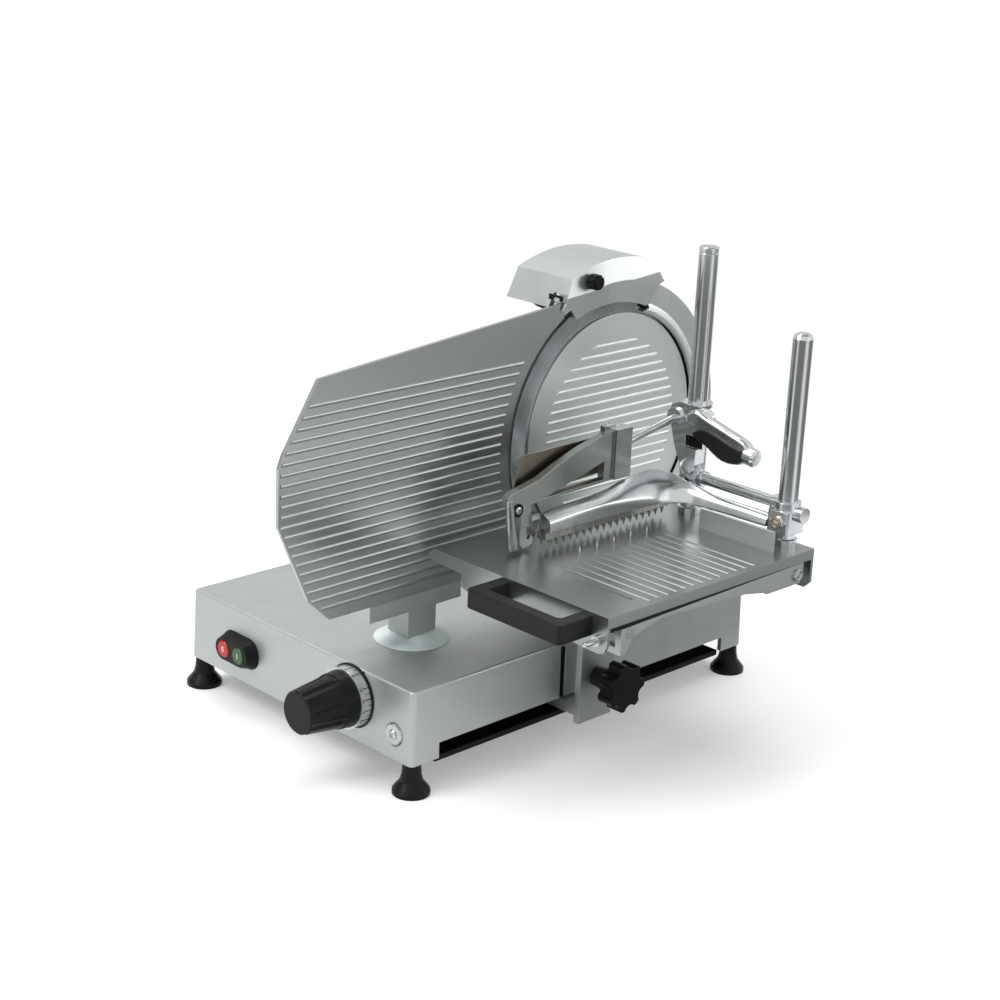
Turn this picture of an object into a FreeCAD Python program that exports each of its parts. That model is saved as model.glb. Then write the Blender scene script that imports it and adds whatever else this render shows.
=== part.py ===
import FreeCAD, Part
import Sketcher
import math
import os
import re

# Vertical-blade butcher's slicer.  Millimetres.
# +X is the operator's right, +Y points away from the operator, +Z is up.
# The origin is the centre of the base footprint on the surface the feet stand on.

SIZES = [
    # base
    ("base_width", 408, "base across the machine"),
    ("base_length", 575, "base from front to back"),
    ("base_top", 126, "height of the base top"),
    ("base_low", 37, "height of the lower edge of the base"),
    ("base_wall", 4, "wall of the base casting"),
    ("base_draft", 1.3, "draft angle of the base walls in degrees"),
    ("base_corner", 6, "radius of the upright corners"),
    ("base_rim", 2.5, "radius round the top edge"),
    ("corner_block", 26, "solid corner that takes a foot, along each wall"),
    ("notch_start", 40, "side notch, from the front"),
    ("notch_end", 536, "side notch, end from the front"),
    ("notch_height", 19, "side notch, height above the lower edge"),
    ("strip_back", 238, "side seam strip, from the front"),
    ("strip_width", 8, "side seam strip"),
    ("strip_depth", 1, "depth of the groove for the side seam strip"),
    ("pan_gap", 0.4, "gap between pan and base wall"),
    ("pan_low", 30, "height of the pan underside"),
    ("pan_sheet", 2, "pan sheet"),
    # feet
    ("foot_radius", 22, "foot pad"),
    ("foot_stem", 11, "foot stem radius"),
    ("foot_inset", 9, "foot centre inside the top edges"),
    ("foot_stud", 4, "foot stud radius"),
    ("foot_stud_rise", 24, "foot stud above the lower edge of the base"),
    ("fit", 0.05, "radial running clearance"),
    ("gap", 0.3, "clearance between faces that pass each other"),
    # switch and plug on the front
    ("switch_left", 311, "switch centre, left of the right side of the base"),
    ("switch_height", 76.5, "switch centre height"),
    ("switch_depth", 16, "switch housing stands proud"),
    ("switch_half_width", 36, "switch housing at the wall"),
    ("switch_half_height", 19.5, "switch housing at the wall"),
    ("switch_slope", 5.5, "switch housing narrows by this on each side"),
    ("button_spacing", 28.6, "between the two buttons"),
    ("button_radius", 10.4, "push button"),
    ("button_length", 15, "push button"),
    ("button_proud", 1.6, "push button in front of the housing"),
    ("plug_left", 28.6, "corner plug, left of the right side of the base"),
    ("plug_height", 67.5, "corner plug centre height"),
    ("plug_radius", 13.5, "corner plug head"),
    ("plug_head", 3.5, "corner plug head thickness"),
    # cutting plane, blade and gauge
    ("blade_inset", 103, "cutting plane, left of the right side of the base"),
    ("blade_back", 414.5, "blade centre from the front of the base"),
    ("blade_height", 334.5, "blade centre height"),
    ("blade_radius", 175, "blade"),
    ("blade_step", 146.3, "inner radius of the blade bevel"),
    ("blade_plate", 4, "blade disc thickness"),
    ("cover_radius", 145.5, "blade cover disc"),
    ("cover_plate", 5, "blade cover disc thickness"),
    ("cover_rib_pitch", 12, "ribs on the cover disc"),
    ("cover_rib_field", 115, "radius of the ribbed field on the cover disc"),
    ("rib_radius", 2.7, "crown of the ribs on the plates and the table"),
    ("rib_sink", 1.3, "centres of the ribs below the face they stand on"),
    ("ring_radius", 187.3, "outside of the ring guard"),
    ("ring_inner", 148, "inner edge of the ring guard lip"),
    ("ring_sheet", 2.2, "ring guard wall"),
    ("ring_back", 168, "back plate of the ring guard"),
    ("hood_arc", 162.1, "lower edge of the sharpener hood's front"),
    ("hood_front", 3.6, "front of the sharpener hood, right of the cutting plane"),
    ("gauge_thick", 4, "gauge plate without ribs"),
    ("gauge_clear", 4, "gauge plate arc clear of the blade"),
    ("gauge_rib_pitch", 11.8, "ribs on the gauge plate"),
    ("gauge_rib_first", 205.3, "height of the lowest gauge rib"),
    ("gauge_low", 189.6, "lower edge of the gauge plate"),
    ("column_left", 21.3, "gauge column centre, left of the cutting plane"),
    ("column_front", 107.8, "gauge column centre from the front of the base"),
    ("column_width", 35, "gauge column across"),
    ("column_depth", 43, "gauge column front to back"),
    ("column_low", 136, "foot of the gauge column"),
    ("bracket_low", 168, "underside of the gauge bracket"),
    ("gauge_travel", 16, "thickness setting range"),
    ("seal_radius", 45, "gauge column seal"),
    # thickness knob
    ("knob_height", 89, "knob axis height"),
    ("dial_radius", 36.5, "dial ring"),
    ("dial_length", 14, "dial ring"),
    ("knob_root", 32.5, "knob radius at the dial"),
    ("knob_nose", 26, "knob radius at the nose"),
    ("knob_length", 64, "knob"),
    ("flute_radius", 11.5, "flutes round the knob, at its nose"),
    ("spindle_radius", 6, "knob spindle"),
    # table and carriage
    ("table_front", 110.4, "table front from the front of the base"),
    ("table_length", 358, "table front to back"),
    ("table_left", 9, "table edge right of the cutting plane"),
    ("table_ear", 3.3, "front ear right of the cutting plane"),
    ("table_right", 283.5, "table right edge, right of the cutting plane"),
    ("table_top", 245, "height of the table"),
    ("table_sheet", 4, "table thickness"),
    ("flange_low", 200.8, "lower edge of the front flange"),
    ("rear_flange_low", 195, "lower edge of the rear flange"),
    ("lip_low", 232, "lower edge of the right lip"),
    ("table_rib_pitch", 15, "ribs on the table"),
    ("handle_left", 117, "handle, right of the cutting plane"),
    ("handle_width", 143.5, "handle overall"),
    ("handle_reach", 50, "handle in front of the flange"),
    ("handle_bar", 17, "handle bar section"),
    ("handle_low", 218, "underside of the handle"),
    ("handle_height", 23.5, "handle height"),
    ("leg_out", 36, "outer face of the carriage leg, right of the base"),
    ("leg_sheet", 8, "carriage leg thickness"),
    ("leg_front", 232, "carriage leg, from the front of the base"),
    ("leg_width", 55.5, "carriage leg"),
    ("leg_low", 34.5, "lower edge of the carriage leg"),
    ("arm_low", 40, "underside of the carriage arm in the notch"),
    ("arm_high", 54, "top of the carriage arm in the notch"),
    ("rail_right", 279, "outer side arm face, right of the cutting plane"),
    ("rod_height", 216.3, "feed rod height"),
    ("rod_radius", 7.5, "feed rod"),
    ("rod_back", 443.5, "rear feed rod from the front of the base"),
    ("front_rod_back", 152.5, "front feed rod from the front of the base"),
    ("bar_radius", 12, "carriage guide bar"),
    ("bar_height", 78, "carriage guide bar"),
    ("bar_inset", 44, "carriage guide bar, left of the right side"),
    ("star_height", 90, "star knob axis"),
    ("star_radius", 30, "star knob"),
    ("star_out", 49, "star knob nose in front of the leg"),
    ("star_stud", 4, "radius of the star knob's stud"),
    # posts and press
    ("post_radius", 12, "press posts"),
    ("post_back", 453, "press posts from the front of the base"),
    ("inner_post_right", 102.4, "inner post right of the cutting plane"),
    ("outer_post_right", 250.3, "outer post right of the cutting plane"),
    ("inner_post_top", 576.5, "top of the inner post"),
    ("outer_post_top", 502, "top of the outer post"),
    ("shaft_height", 292, "cross shaft height"),
    ("shaft_radius", 7, "cross shaft"),
    ("lever_pivot", 4, "radius of the clamp lever's pivot pin"),
    ("guard_rod", 5, "radius of the guard's rod"),
    ("guard_pivot", 3.5, "radius of the pin at the rod's end that the guard turns on"),
    ("bar_left", 79, "toothed bar, right of the cutting plane"),
    ("bar_front", 206, "toothed bar, from the front of the base"),
    ("tooth_bar_length", 215, "toothed bar"),
    ("tooth_bar_low", 258, "underside of the toothed bar"),
    ("tooth_length", 9, "teeth"),
    # drive
    ("motor_radius", 40, "motor"),
    ("motor_height", 77, "motor axis"),
    ("drive_radius", 16, "motor pulley"),
    ("driven_radius", 38, "blade pulley"),
    ("belt_thick", 4, "drive belt"),
    ("belt_width", 12, "drive belt"),
    ("pulley_left", 51, "pulley centre, left of the cutting plane"),
    ("shaft_bore", 6.5, "bore of the blade shaft"),
    ("blade_shaft_radius", 15, "blade shaft"),
]

doc = FreeCAD.newDocument("butchers_slicer")
sheet = doc.addObject("Spreadsheet::Sheet", "Sizes")
for number, (alias, amount, meaning) in enumerate(SIZES, 1):
    sheet.set(f"A{number}", meaning)
    sheet.set(f"B{number}", str(amount))
    sheet.setAlias(f"B{number}", alias)
doc.recompute()

ALIASES = {alias for alias, amount, meaning in SIZES}
PARTS = []

# Places that many pieces share, written as formulas of the sheet's sizes.
SIDE = "(base_width / 2)"
FRONT = "(-base_length / 2)"
CUT = "(base_width / 2 - blade_inset)"
BLADE_Y = "(blade_back - base_length / 2)"
BLADE_Z = "blade_height"
TABLE_Y = "(table_front - base_length / 2)"
TABLE_END = "(table_front + table_length - base_length / 2)"
TABLE_X = "(base_width / 2 - blade_inset + table_right)"
COLUMN_X = "(base_width / 2 - blade_inset - column_left)"
COLUMN_Y = "(column_front - base_length / 2)"
LEG_X = "(base_width / 2 + leg_out)"
LEG_Y = "(leg_front - base_length / 2)"
RAIL_X = "(base_width / 2 - blade_inset + rail_right)"
ROD_Y = "(rod_back - base_length / 2)"
FRONT_ROD_Y = "(front_rod_back - base_length / 2)"
BAR_X = "(base_width / 2 - bar_inset)"
POST_Y = "(post_back - base_length / 2)"
INNER_X = "(base_width / 2 - blade_inset + inner_post_right)"
OUTER_X = "(base_width / 2 - blade_inset + outer_post_right)"
PULLEY_X = "(base_width / 2 - blade_inset - pulley_left)"
TOOTH_X = "(base_width / 2 - blade_inset + bar_left)"
TOOTH_Y = "(bar_front - base_length / 2)"


def size(alias):
    return float(sheet.get(alias))


def link(text):
    """Turn a formula of size names into a spreadsheet formula."""
    def cell(match):
        word = match.group()
        return "Sizes." + word if word in ALIASES else word
    return re.sub(r"[a-z_][a-z_0-9]*", cell, str(text))


def bind(thing, **formulas):
    for name, text in formulas.items():
        thing.setExpression(name, link(text))


def seat(thing, x, y, z):
    for name, text in (("x", x), ("y", y), ("z", z)):
        thing.setExpression("Placement.Base." + name, link(text))


def part(label, thing):
    thing.Label = label
    PARTS.append(thing)
    return thing


def box(x0, x1, y0, y1, z0, z1):
    """Box between two corners given as formulas."""
    solid = doc.addObject("Part::Box", "Box")
    bind(solid, Length=f"({x1}) - ({x0})", Width=f"({y1}) - ({y0})", Height=f"({z1}) - ({z0})")
    seat(solid, x0, y0, z0)
    return solid


TURN = {
    "x": FreeCAD.Rotation(FreeCAD.Vector(0, 1, 0), 90),
    "y": FreeCAD.Rotation(FreeCAD.Vector(1, 0, 0), -90),
    "z": FreeCAD.Rotation(),
}


def rod(axis, x, y, z, radius, length):
    """Cylinder that starts at a point and runs along an axis."""
    solid = doc.addObject("Part::Cylinder", "Rod")
    solid.Placement = FreeCAD.Placement(FreeCAD.Vector(), TURN[axis])
    bind(solid, Radius=radius, Height=length)
    seat(solid, x, y, z)
    return solid


def cone(axis, x, y, z, radius1, radius2, length):
    solid = doc.addObject("Part::Cone", "Cone")
    solid.Placement = FreeCAD.Placement(FreeCAD.Vector(), TURN[axis])
    bind(solid, Radius1=radius1, Radius2=radius2, Height=length)
    seat(solid, x, y, z)
    return solid


def fuse(*solids):
    joined = doc.addObject("Part::MultiFuse", "Fuse")
    joined.Shapes = list(solids)
    joined.Refine = True
    return joined


def cut(base, *tools):
    result = doc.addObject("Part::Cut", "Cut")
    result.Base = base
    result.Tool = tools[0] if len(tools) == 1 else fuse(*tools)
    result.Refine = True
    return result


def common(first, second):
    result = doc.addObject("Part::Common", "Common")
    result.Base = first
    result.Tool = second
    return result


def group(*solids):
    result = doc.addObject("Part::Compound", "Group")
    result.Links = list(solids)
    return result


def sketch_on(body, plane, offset):
    sketch = body.newObject("Sketcher::SketchObject", "Outline")
    base_plane = [item for item in body.Origin.OriginFeatures if item.Role == plane][0]
    sketch.AttachmentSupport = [(base_plane, "")]
    sketch.MapMode = "FlatFace"
    sketch.setExpression(".AttachmentOffset.Base.z", link(offset))
    return sketch


def draw(sketch, points):
    """Closed outline whose corners are bound to formulas."""
    count = len(points)
    rough = [FreeCAD.Vector(math.cos(i * 2 * math.pi / count), math.sin(i * 2 * math.pi / count), 0)
             for i in range(count)]
    for i in range(count):
        sketch.addGeometry(Part.LineSegment(rough[i], rough[(i + 1) % count]), False)
    for i in range(count):
        sketch.addConstraint(Sketcher.Constraint("Coincident", i, 2, (i + 1) % count, 1))
    for i, (across, up) in enumerate(points):
        for kind, text, start in (("DistanceX", across, rough[i].x), ("DistanceY", up, rough[i].y)):
            row = sketch.addConstraint(Sketcher.Constraint(kind, -1, 1, i, 1, start))
            sketch.setExpression(f"Constraints[{row}]", link(text))


def prism(plane, points, start, length, taper=None):
    """Outline on a plane, padded from a start level along +X, +Y or +Z."""
    body = doc.addObject("PartDesign::Body", "Body")
    if plane == "XZ_Plane":
        sketch = sketch_on(body, plane, f"-(({start}) + ({length}))")
    else:
        sketch = sketch_on(body, plane, start)
    draw(sketch, points)
    pad = body.newObject("PartDesign::Pad", "Pad")
    pad.Profile = sketch
    bind(pad, Length=length)
    if taper:
        bind(pad, TaperAngle=taper)
    return body


def spun(axis, points, x, y, z, angle=360, tilt=0):
    """Profile of (along axis, radius) points revolved about an axis through a point."""
    body = doc.addObject("PartDesign::Body", "Body")
    sketch = sketch_on(body, "XZ_Plane" if axis == "z" else "XY_Plane", "0 * gap")
    if axis == "x":
        draw(sketch, points)
    else:
        draw(sketch, [(radius, along) for along, radius in points])
    turned = body.newObject("PartDesign::Revolution", "Revolution")
    turned.Profile = sketch
    turned.ReferenceAxis = (sketch, ["H_Axis" if axis == "x" else "V_Axis"])
    turned.Angle = angle
    turned.Midplane = angle < 360
    body.Placement = FreeCAD.Placement(FreeCAD.Vector(), FreeCAD.Rotation(FreeCAD.Vector(1, 0, 0), tilt))
    seat(body, x, y, z)
    return body


def rounded(base, radius, pick):
    """Fillet the edges of a finished piece that a test picks out."""
    doc.recompute()
    result = doc.addObject("Part::Fillet", "Fillet")
    result.Base = base
    result.Edges = [(i, radius, radius) for i, edge in enumerate(base.Shape.Edges, 1) if pick(edge)]
    return result


def runs_along(edge, axis):
    if edge.Curve.TypeId != "Part::GeomLine":
        return False
    direction = edge.Vertexes[-1].Point - edge.Vertexes[0].Point
    return abs(abs(direction.normalize()[axis]) - 1) < 1e-6


def shaped(label, shape):
    solid = doc.addObject("Part::Feature", label)
    solid.Shape = shape
    return solid


# ---------------------------------------------------------------- base

def base_housing():
    """Open-bottomed casting with drafted walls, side notch and bored front."""
    half_x = "base_width / 2"
    half_y = "base_length / 2"
    body = doc.addObject("PartDesign::Body", "Body")
    sketch = sketch_on(body, "XY_Plane", "base_top")
    draw(sketch, [("-" + half_x, "-" + half_y), (half_x, "-" + half_y), (half_x, half_y), ("-" + half_x, half_y)])
    pad = body.newObject("PartDesign::Pad", "Pad")
    pad.Profile = sketch
    pad.Reversed = True
    bind(pad, Length="base_top - base_low", TaperAngle="base_draft")
    doc.recompute()
    edges = [f"Edge{i}" for i, edge in enumerate(body.Shape.Edges, 1)
             if abs(edge.Vertexes[0].Z - edge.Vertexes[-1].Z) > 1]
    corners = body.newObject("PartDesign::Fillet", "Corners")
    corners.Base = (pad, edges)
    bind(corners, Radius="base_corner")
    doc.recompute()
    rim_edges = [f"Edge{i}" for i, edge in enumerate(body.Shape.Edges, 1)
                 if edge.BoundBox.ZMin > size("base_top") - 0.1]
    rim = body.newObject("PartDesign::Fillet", "Rim")
    rim.Base = (corners, rim_edges)
    bind(rim, Radius="base_rim")

    inside_x = "(base_width / 2 - base_wall)"
    inside_y = "(base_length / 2 - base_wall)"
    cavity = prism("XY_Plane", [
        (f"-{inside_x} + corner_block", f"-{inside_y}"), (f"{inside_x} - corner_block", f"-{inside_y}"),
        (inside_x, f"-{inside_y} + corner_block"), (inside_x, f"{inside_y} - corner_block"),
        (f"{inside_x} - corner_block", inside_y), (f"-{inside_x} + corner_block", inside_y),
        (f"-{inside_x}", f"{inside_y} - corner_block"), (f"-{inside_x}", f"-{inside_y} + corner_block"),
    ], "base_low - 1", "base_top - base_wall - base_low + 1")
    notch = box(f"{SIDE} - base_wall - 1", f"{SIDE} + 9", f"{FRONT} + notch_start", f"{FRONT} + notch_end",
                "base_low - 1", "base_low + notch_height")
    groove = box(f"{SIDE} - strip_depth", f"{SIDE} + 9", f"{FRONT} + strip_back - strip_width / 2",
                 f"{FRONT} + strip_back + strip_width / 2", "base_low + notch_height - 1", "base_top - base_rim - 2")
    switch_x = f"({SIDE} - switch_left)"
    reach = "(switch_half_width - switch_half_height)"
    switch_flat = fuse(box(f"{switch_x} - {reach}", f"{switch_x} + {reach}", f"{FRONT} - 9", FRONT,
                           "switch_height - switch_half_height - gap", "switch_height + switch_half_height + gap"),
                       *[rod("y", f"{switch_x} + ({side} * {reach})", f"{FRONT} - 9", "switch_height",
                             "switch_half_height + gap", "9") for side in (-1, 1)])
    switch_hole = box(f"{switch_x} - switch_half_width + 10", f"{switch_x} + switch_half_width - 10",
                      f"{FRONT} - 1", f"{FRONT} + base_wall + 1", "switch_height - 12", "switch_height + 12")
    plug_flat = rod("y", f"{SIDE} - plug_left", f"{FRONT} - 9", "plug_height", "plug_radius + 1", "9")
    plug_hole = rod("y", f"{SIDE} - plug_left", f"{FRONT} - 1", "plug_height", "foot_stud + fit", "20")
    dial_flat = rod("y", CUT, f"{FRONT} - 9", "knob_height", "dial_radius + 2", "9")
    spindle_hole = rod("y", CUT, f"{FRONT} - 1", "knob_height", "spindle_radius + fit", "base_wall + 2")
    gauge_slot = box(f"{COLUMN_X} - 10 - gauge_travel", f"{COLUMN_X} + 10", f"{COLUMN_Y} - 12", f"{COLUMN_Y} + 12",
                     "base_top - base_wall - 1", "base_top + 1")
    belt_slot = box(f"{PULLEY_X} - 12", f"{PULLEY_X} + 12", f"{BLADE_Y} - driven_radius - 8",
                    f"{BLADE_Y} + driven_radius + 8", "base_top - base_wall - 1", "base_top + 1")
    gland_hole = rod("x", f"-{SIDE} - 5", "base_length / 4", "bar_height", "foot_stud", "20")
    stud_holes = [rod("z", f"{sx} * ({SIDE} - foot_inset)", f"{sy} * ({FRONT} + foot_inset)", "base_low - 1",
                      "foot_stud + fit", "foot_stud_rise + 2") for sx in (1, -1) for sy in (1, -1)]
    hollow = cut(body, cavity, notch, groove, switch_flat, switch_hole, plug_flat, plug_hole, dial_flat,
                 spindle_hole, gauge_slot, belt_slot, gland_hole, *stud_holes)
    # Lugs under the top carry the two guide rods of the gauge slide.
    lugs = []
    for x in (f"{COLUMN_X} - column_width / 2 - gauge_travel - 16", f"{CUT} + 12"):
        lugs.append(cut(box(x, f"{x} + 8", f"{COLUMN_Y} - 24", f"{COLUMN_Y} + 24", "64", "base_top - base_wall"),
                        *[rod("x", f"{x} - 1", f"{COLUMN_Y} + ({side} * 15)", "74", "spindle_radius", "10")
                          for side in (-1, 1)]))
    part("base_housing", fuse(hollow, *lugs))


def base_pan():
    """Black tray under the machine, seen through the side notch."""
    half = f"({SIDE} - base_wall - pan_gap)"
    front = f"{FRONT} + notch_start"
    back = f"{FRONT} + notch_end"
    tray = cut(box(f"-{half}", half, front, back, "pan_low", "base_low - gap"),
               box(f"-{half} + pan_sheet", f"{half} - pan_sheet", f"{front} + pan_sheet", f"{back} - pan_sheet",
                   "pan_low + pan_sheet", "base_low"))
    part("base_pan", tray)


def feet():
    """Four rubber feet with their studs."""
    profile = [("0 * gap", "0 * gap"), ("0 * gap", "foot_radius"), ("5", "foot_radius"), ("9", "foot_radius - 3"),
               ("16", "foot_stem + 2.5"), ("24", "foot_stem + 0.5"), ("base_low", "foot_stem - 0.5"),
               ("base_low", "foot_stud"), ("base_low + foot_stud_rise", "foot_stud"),
               ("base_low + foot_stud_rise", "0 * gap")]
    feet_solids = [spun("z", profile, f"{sx} * ({SIDE} - foot_inset)", f"{sy} * ({FRONT} + foot_inset)", "0 * gap")
                   for sx in (1, -1) for sy in (1, -1)]
    part("feet", group(*feet_solids))


def obround_wire(half_width, half_height, depth):
    """Closed slot outline in a plane of constant Y."""
    reach = half_width - half_height
    top = half_height
    points = [FreeCAD.Vector(x, depth, z) for x, z in
              ((-reach, top), (reach, top), (half_width, 0), (reach, -top), (-reach, -top), (-half_width, 0))]
    edges = [Part.LineSegment(points[0], points[1]).toShape(),
             Part.Arc(points[1], points[2], points[3]).toShape(),
             Part.LineSegment(points[3], points[4]).toShape(),
             Part.Arc(points[4], points[5], points[0]).toShape()]
    return Part.Wire(edges)


def switch():
    """Tapered black switch housing with its stop and start buttons."""
    wide = size("switch_half_width")
    tall = size("switch_half_height")
    slope = size("switch_slope")
    loft = Part.makeLoft([obround_wire(wide, tall, 0),
                          obround_wire(wide - slope, tall - slope, -size("switch_depth"))], True)
    housing = shaped("SwitchBody", loft)
    seat(housing, f"{SIDE} - switch_left", FRONT, "switch_height")
    holes = [rod("y", f"{SIDE} - switch_left + ({side} * button_spacing / 2)", f"{FRONT} - switch_depth - 1",
                 "switch_height", "button_radius + gap", "switch_depth + 2") for side in (-1, 1)]
    part("switch_housing", cut(housing, *holes))
    for label, side in (("stop_button", -1), ("start_button", 1)):
        start = f"{FRONT} - switch_depth - button_proud"
        x = f"{SIDE} - switch_left + ({side} * button_spacing / 2)"
        shank = rod("y", x, f"{start} + 1", "switch_height", "button_radius", "button_length - 1")
        part(label, fuse(shank, cone("y", x, start, "switch_height", "button_radius - 1", "button_radius", "1")))


def corner_plug():
    """Round socket plug in the front wall."""
    x = f"{SIDE} - plug_left"
    head = fuse(cone("y", x, f"{FRONT} - plug_head", "plug_height", "plug_radius - 1.5", "plug_radius", "plug_head"),
                rod("y", x, FRONT, "plug_height", "foot_stud", "base_wall"))
    part("corner_plug", cut(head, rod("y", x, f"{FRONT} - plug_head - 1", "plug_height", "4.5", "3.5")))


def side_strip():
    y = f"({FRONT} + strip_back)"
    part("side_strip", box(f"{SIDE} - strip_depth", f"{SIDE} - 0.2", f"{y} - strip_width / 2 + 0.1",
                           f"{y} + strip_width / 2 - 0.1", "base_low + notch_height", "base_top - base_rim - 2.2"))


def cable_gland():
    """Power inlet gland in the left wall."""
    y = "base_length / 4"
    nose = rod("x", f"-{SIDE} - 20", y, "bar_height", "8", "8")
    nut = rod("x", f"-{SIDE} - 13", y, "bar_height", "11", "11.2")
    barrel = rod("x", f"-{SIDE} - 3", y, "bar_height", "foot_stud - fit", "13")
    bore = rod("x", f"-{SIDE} - 23", y, "bar_height", "2.5", "40")
    part("cable_gland", cut(fuse(nose, nut, barrel), bore))


# ---------------------------------------------------------------- carriage guide

def guide_bar():
    length = "(base_length - 2 * base_wall - 2 * gap)"
    part("guide_bar", rod("y", BAR_X, f"-{length} / 2", "bar_height", "bar_radius", length))
    blocks = []
    for side in (-1, 1):
        start = f"({side} * (base_length / 2 - base_wall - gap - 11) - 11)"
        block = box(f"{BAR_X} - bar_radius - 1.5", f"{BAR_X} + bar_radius + 1.5", start, f"{start} + 22",
                    "bar_height - bar_radius - 6", "base_top - base_wall - gap")
        blocks.append(cut(block, rod("y", BAR_X, f"{start} - 1", "bar_height", "bar_radius", "24")))
    part("guide_bar_supports", group(*blocks))


def carriage_block():
    """Sliding block on the guide bar with the arm that leaves through the notch."""
    start = f"({LEG_Y} - 4)"
    end = f"({LEG_Y} + leg_width + 4)"
    block = box(f"{BAR_X} - 21", f"{BAR_X} + 21", start, end, "arm_low + 12", "bar_height + 22")
    arm = box(f"{BAR_X} - 12", f"{LEG_X} - leg_sheet - 0.2", f"{LEG_Y} + 6", f"{LEG_Y} + leg_width - 6", "arm_low",
              "arm_high")
    bore = rod("y", BAR_X, f"{start} - 1", "bar_height", "bar_radius + 3.5", "leg_width + 10")
    part("carriage_block", cut(fuse(block, arm), bore))
    rings = []
    for place in (start, f"{end} - 18"):
        rings.append(cut(rod("y", BAR_X, place, "bar_height", "bar_radius + 3.5", "18"),
                         rod("y", BAR_X, f"{place} - 1", "bar_height", "bar_radius + fit", "20")))
    part("carriage_bushes", group(*rings))


def carriage_frame():
    """Leg, two side bars and two cross bars that hold the feed rods under the table."""
    inner = f"({LEG_X} - leg_sheet)"
    front = f"({FRONT_ROD_Y} - 15)"
    back = f"({ROD_Y} + 12.5)"
    leg = box(inner, LEG_X, LEG_Y, f"{LEG_Y} + leg_width", "leg_low", "rod_height")
    inner_bar = box(inner, LEG_X, front, back, "rod_height - 23", "rod_height + 12.7")
    arm = prism("YZ_Plane", [
        (front, "rod_height + 7.5"), (front, "rod_height - 23"), (f"{front} + 9", "rod_height - 23"),
        (f"{front} + 20", "rod_height - 5"), (f"{front} + 65", "rod_height + 5"), (f"{ROD_Y} - 96", "rod_height - 2"),
        (f"{ROD_Y} - 42", "rod_height - 12"), (f"{ROD_Y} + 8", "rod_height - 12"), (back, "rod_height - 6"),
        (back, "rod_height + 12.7")], f"{RAIL_X} - leg_sheet", "leg_sheet")
    front_cross = box(inner, RAIL_X, front, f"{front} + 10", "rod_height - 23", "rod_height - 15")
    rear_cross = box(inner, RAIL_X, f"{ROD_Y} - 54", f"{ROD_Y} - 42", "rod_height - 12", "rod_height - 4")
    bores = [rod("x", f"{inner} - 1", y, "rod_height", "rod_radius", f"{RAIL_X} - {inner} + 2")
             for y in (ROD_Y, FRONT_ROD_Y)]
    stud_hole = rod("x", f"{inner} - 1", f"{LEG_Y} + leg_width / 2", "star_height", "star_stud + fit", "leg_sheet + 2")
    part("carriage_frame", cut(fuse(leg, inner_bar, arm, front_cross, rear_cross), *bores, stud_hole))
    rods = [rod("x", f"{inner} + 0.5", ROD_Y, "rod_height", "rod_radius", f"{RAIL_X} - {inner} + 2.5"),
            rod("x", f"{inner} + 0.5", FRONT_ROD_Y, "rod_height", "rod_radius", f"{RAIL_X} - {inner} - 1")]
    part("feed_rods", group(*rods))


def star_knob():
    """Seven-lobed clamping knob on the carriage leg."""
    y = f"({LEG_Y} + leg_width / 2)"
    hub_start = f"({LEG_X} + gap)"
    head_start = f"({LEG_X} + star_out - 21)"
    hub = cone("x", hub_start, y, "star_height", "12", "16", f"{head_start} - {hub_start} + 1")
    stud = rod("x", f"{LEG_X} - leg_sheet - 4", y, "star_height", "star_stud", "leg_sheet + 6")
    head = rod("x", head_start, y, "star_height", "star_radius - 3", "21")
    lobes = []
    for i in range(7):
        angle = 2 * math.pi * i / 7
        lobes.append(rod("x", head_start, f"{y} + (star_radius - 9) * {math.cos(angle):.5f}",
                         f"star_height + (star_radius - 9) * {math.sin(angle):.5f}", "9", "21"))
    scoops = []
    for i in range(7):
        angle = 2 * math.pi * (i + 0.5) / 7
        scoops.append(rod("x", f"{head_start} - 1", f"{y} + (star_radius + 3) * {math.cos(angle):.5f}",
                          f"star_height + (star_radius + 3) * {math.sin(angle):.5f}", "9.5", "23"))
    part("star_knob", cut(fuse(hub, stud, head, *lobes), *scoops))


# ---------------------------------------------------------------- table

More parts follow.
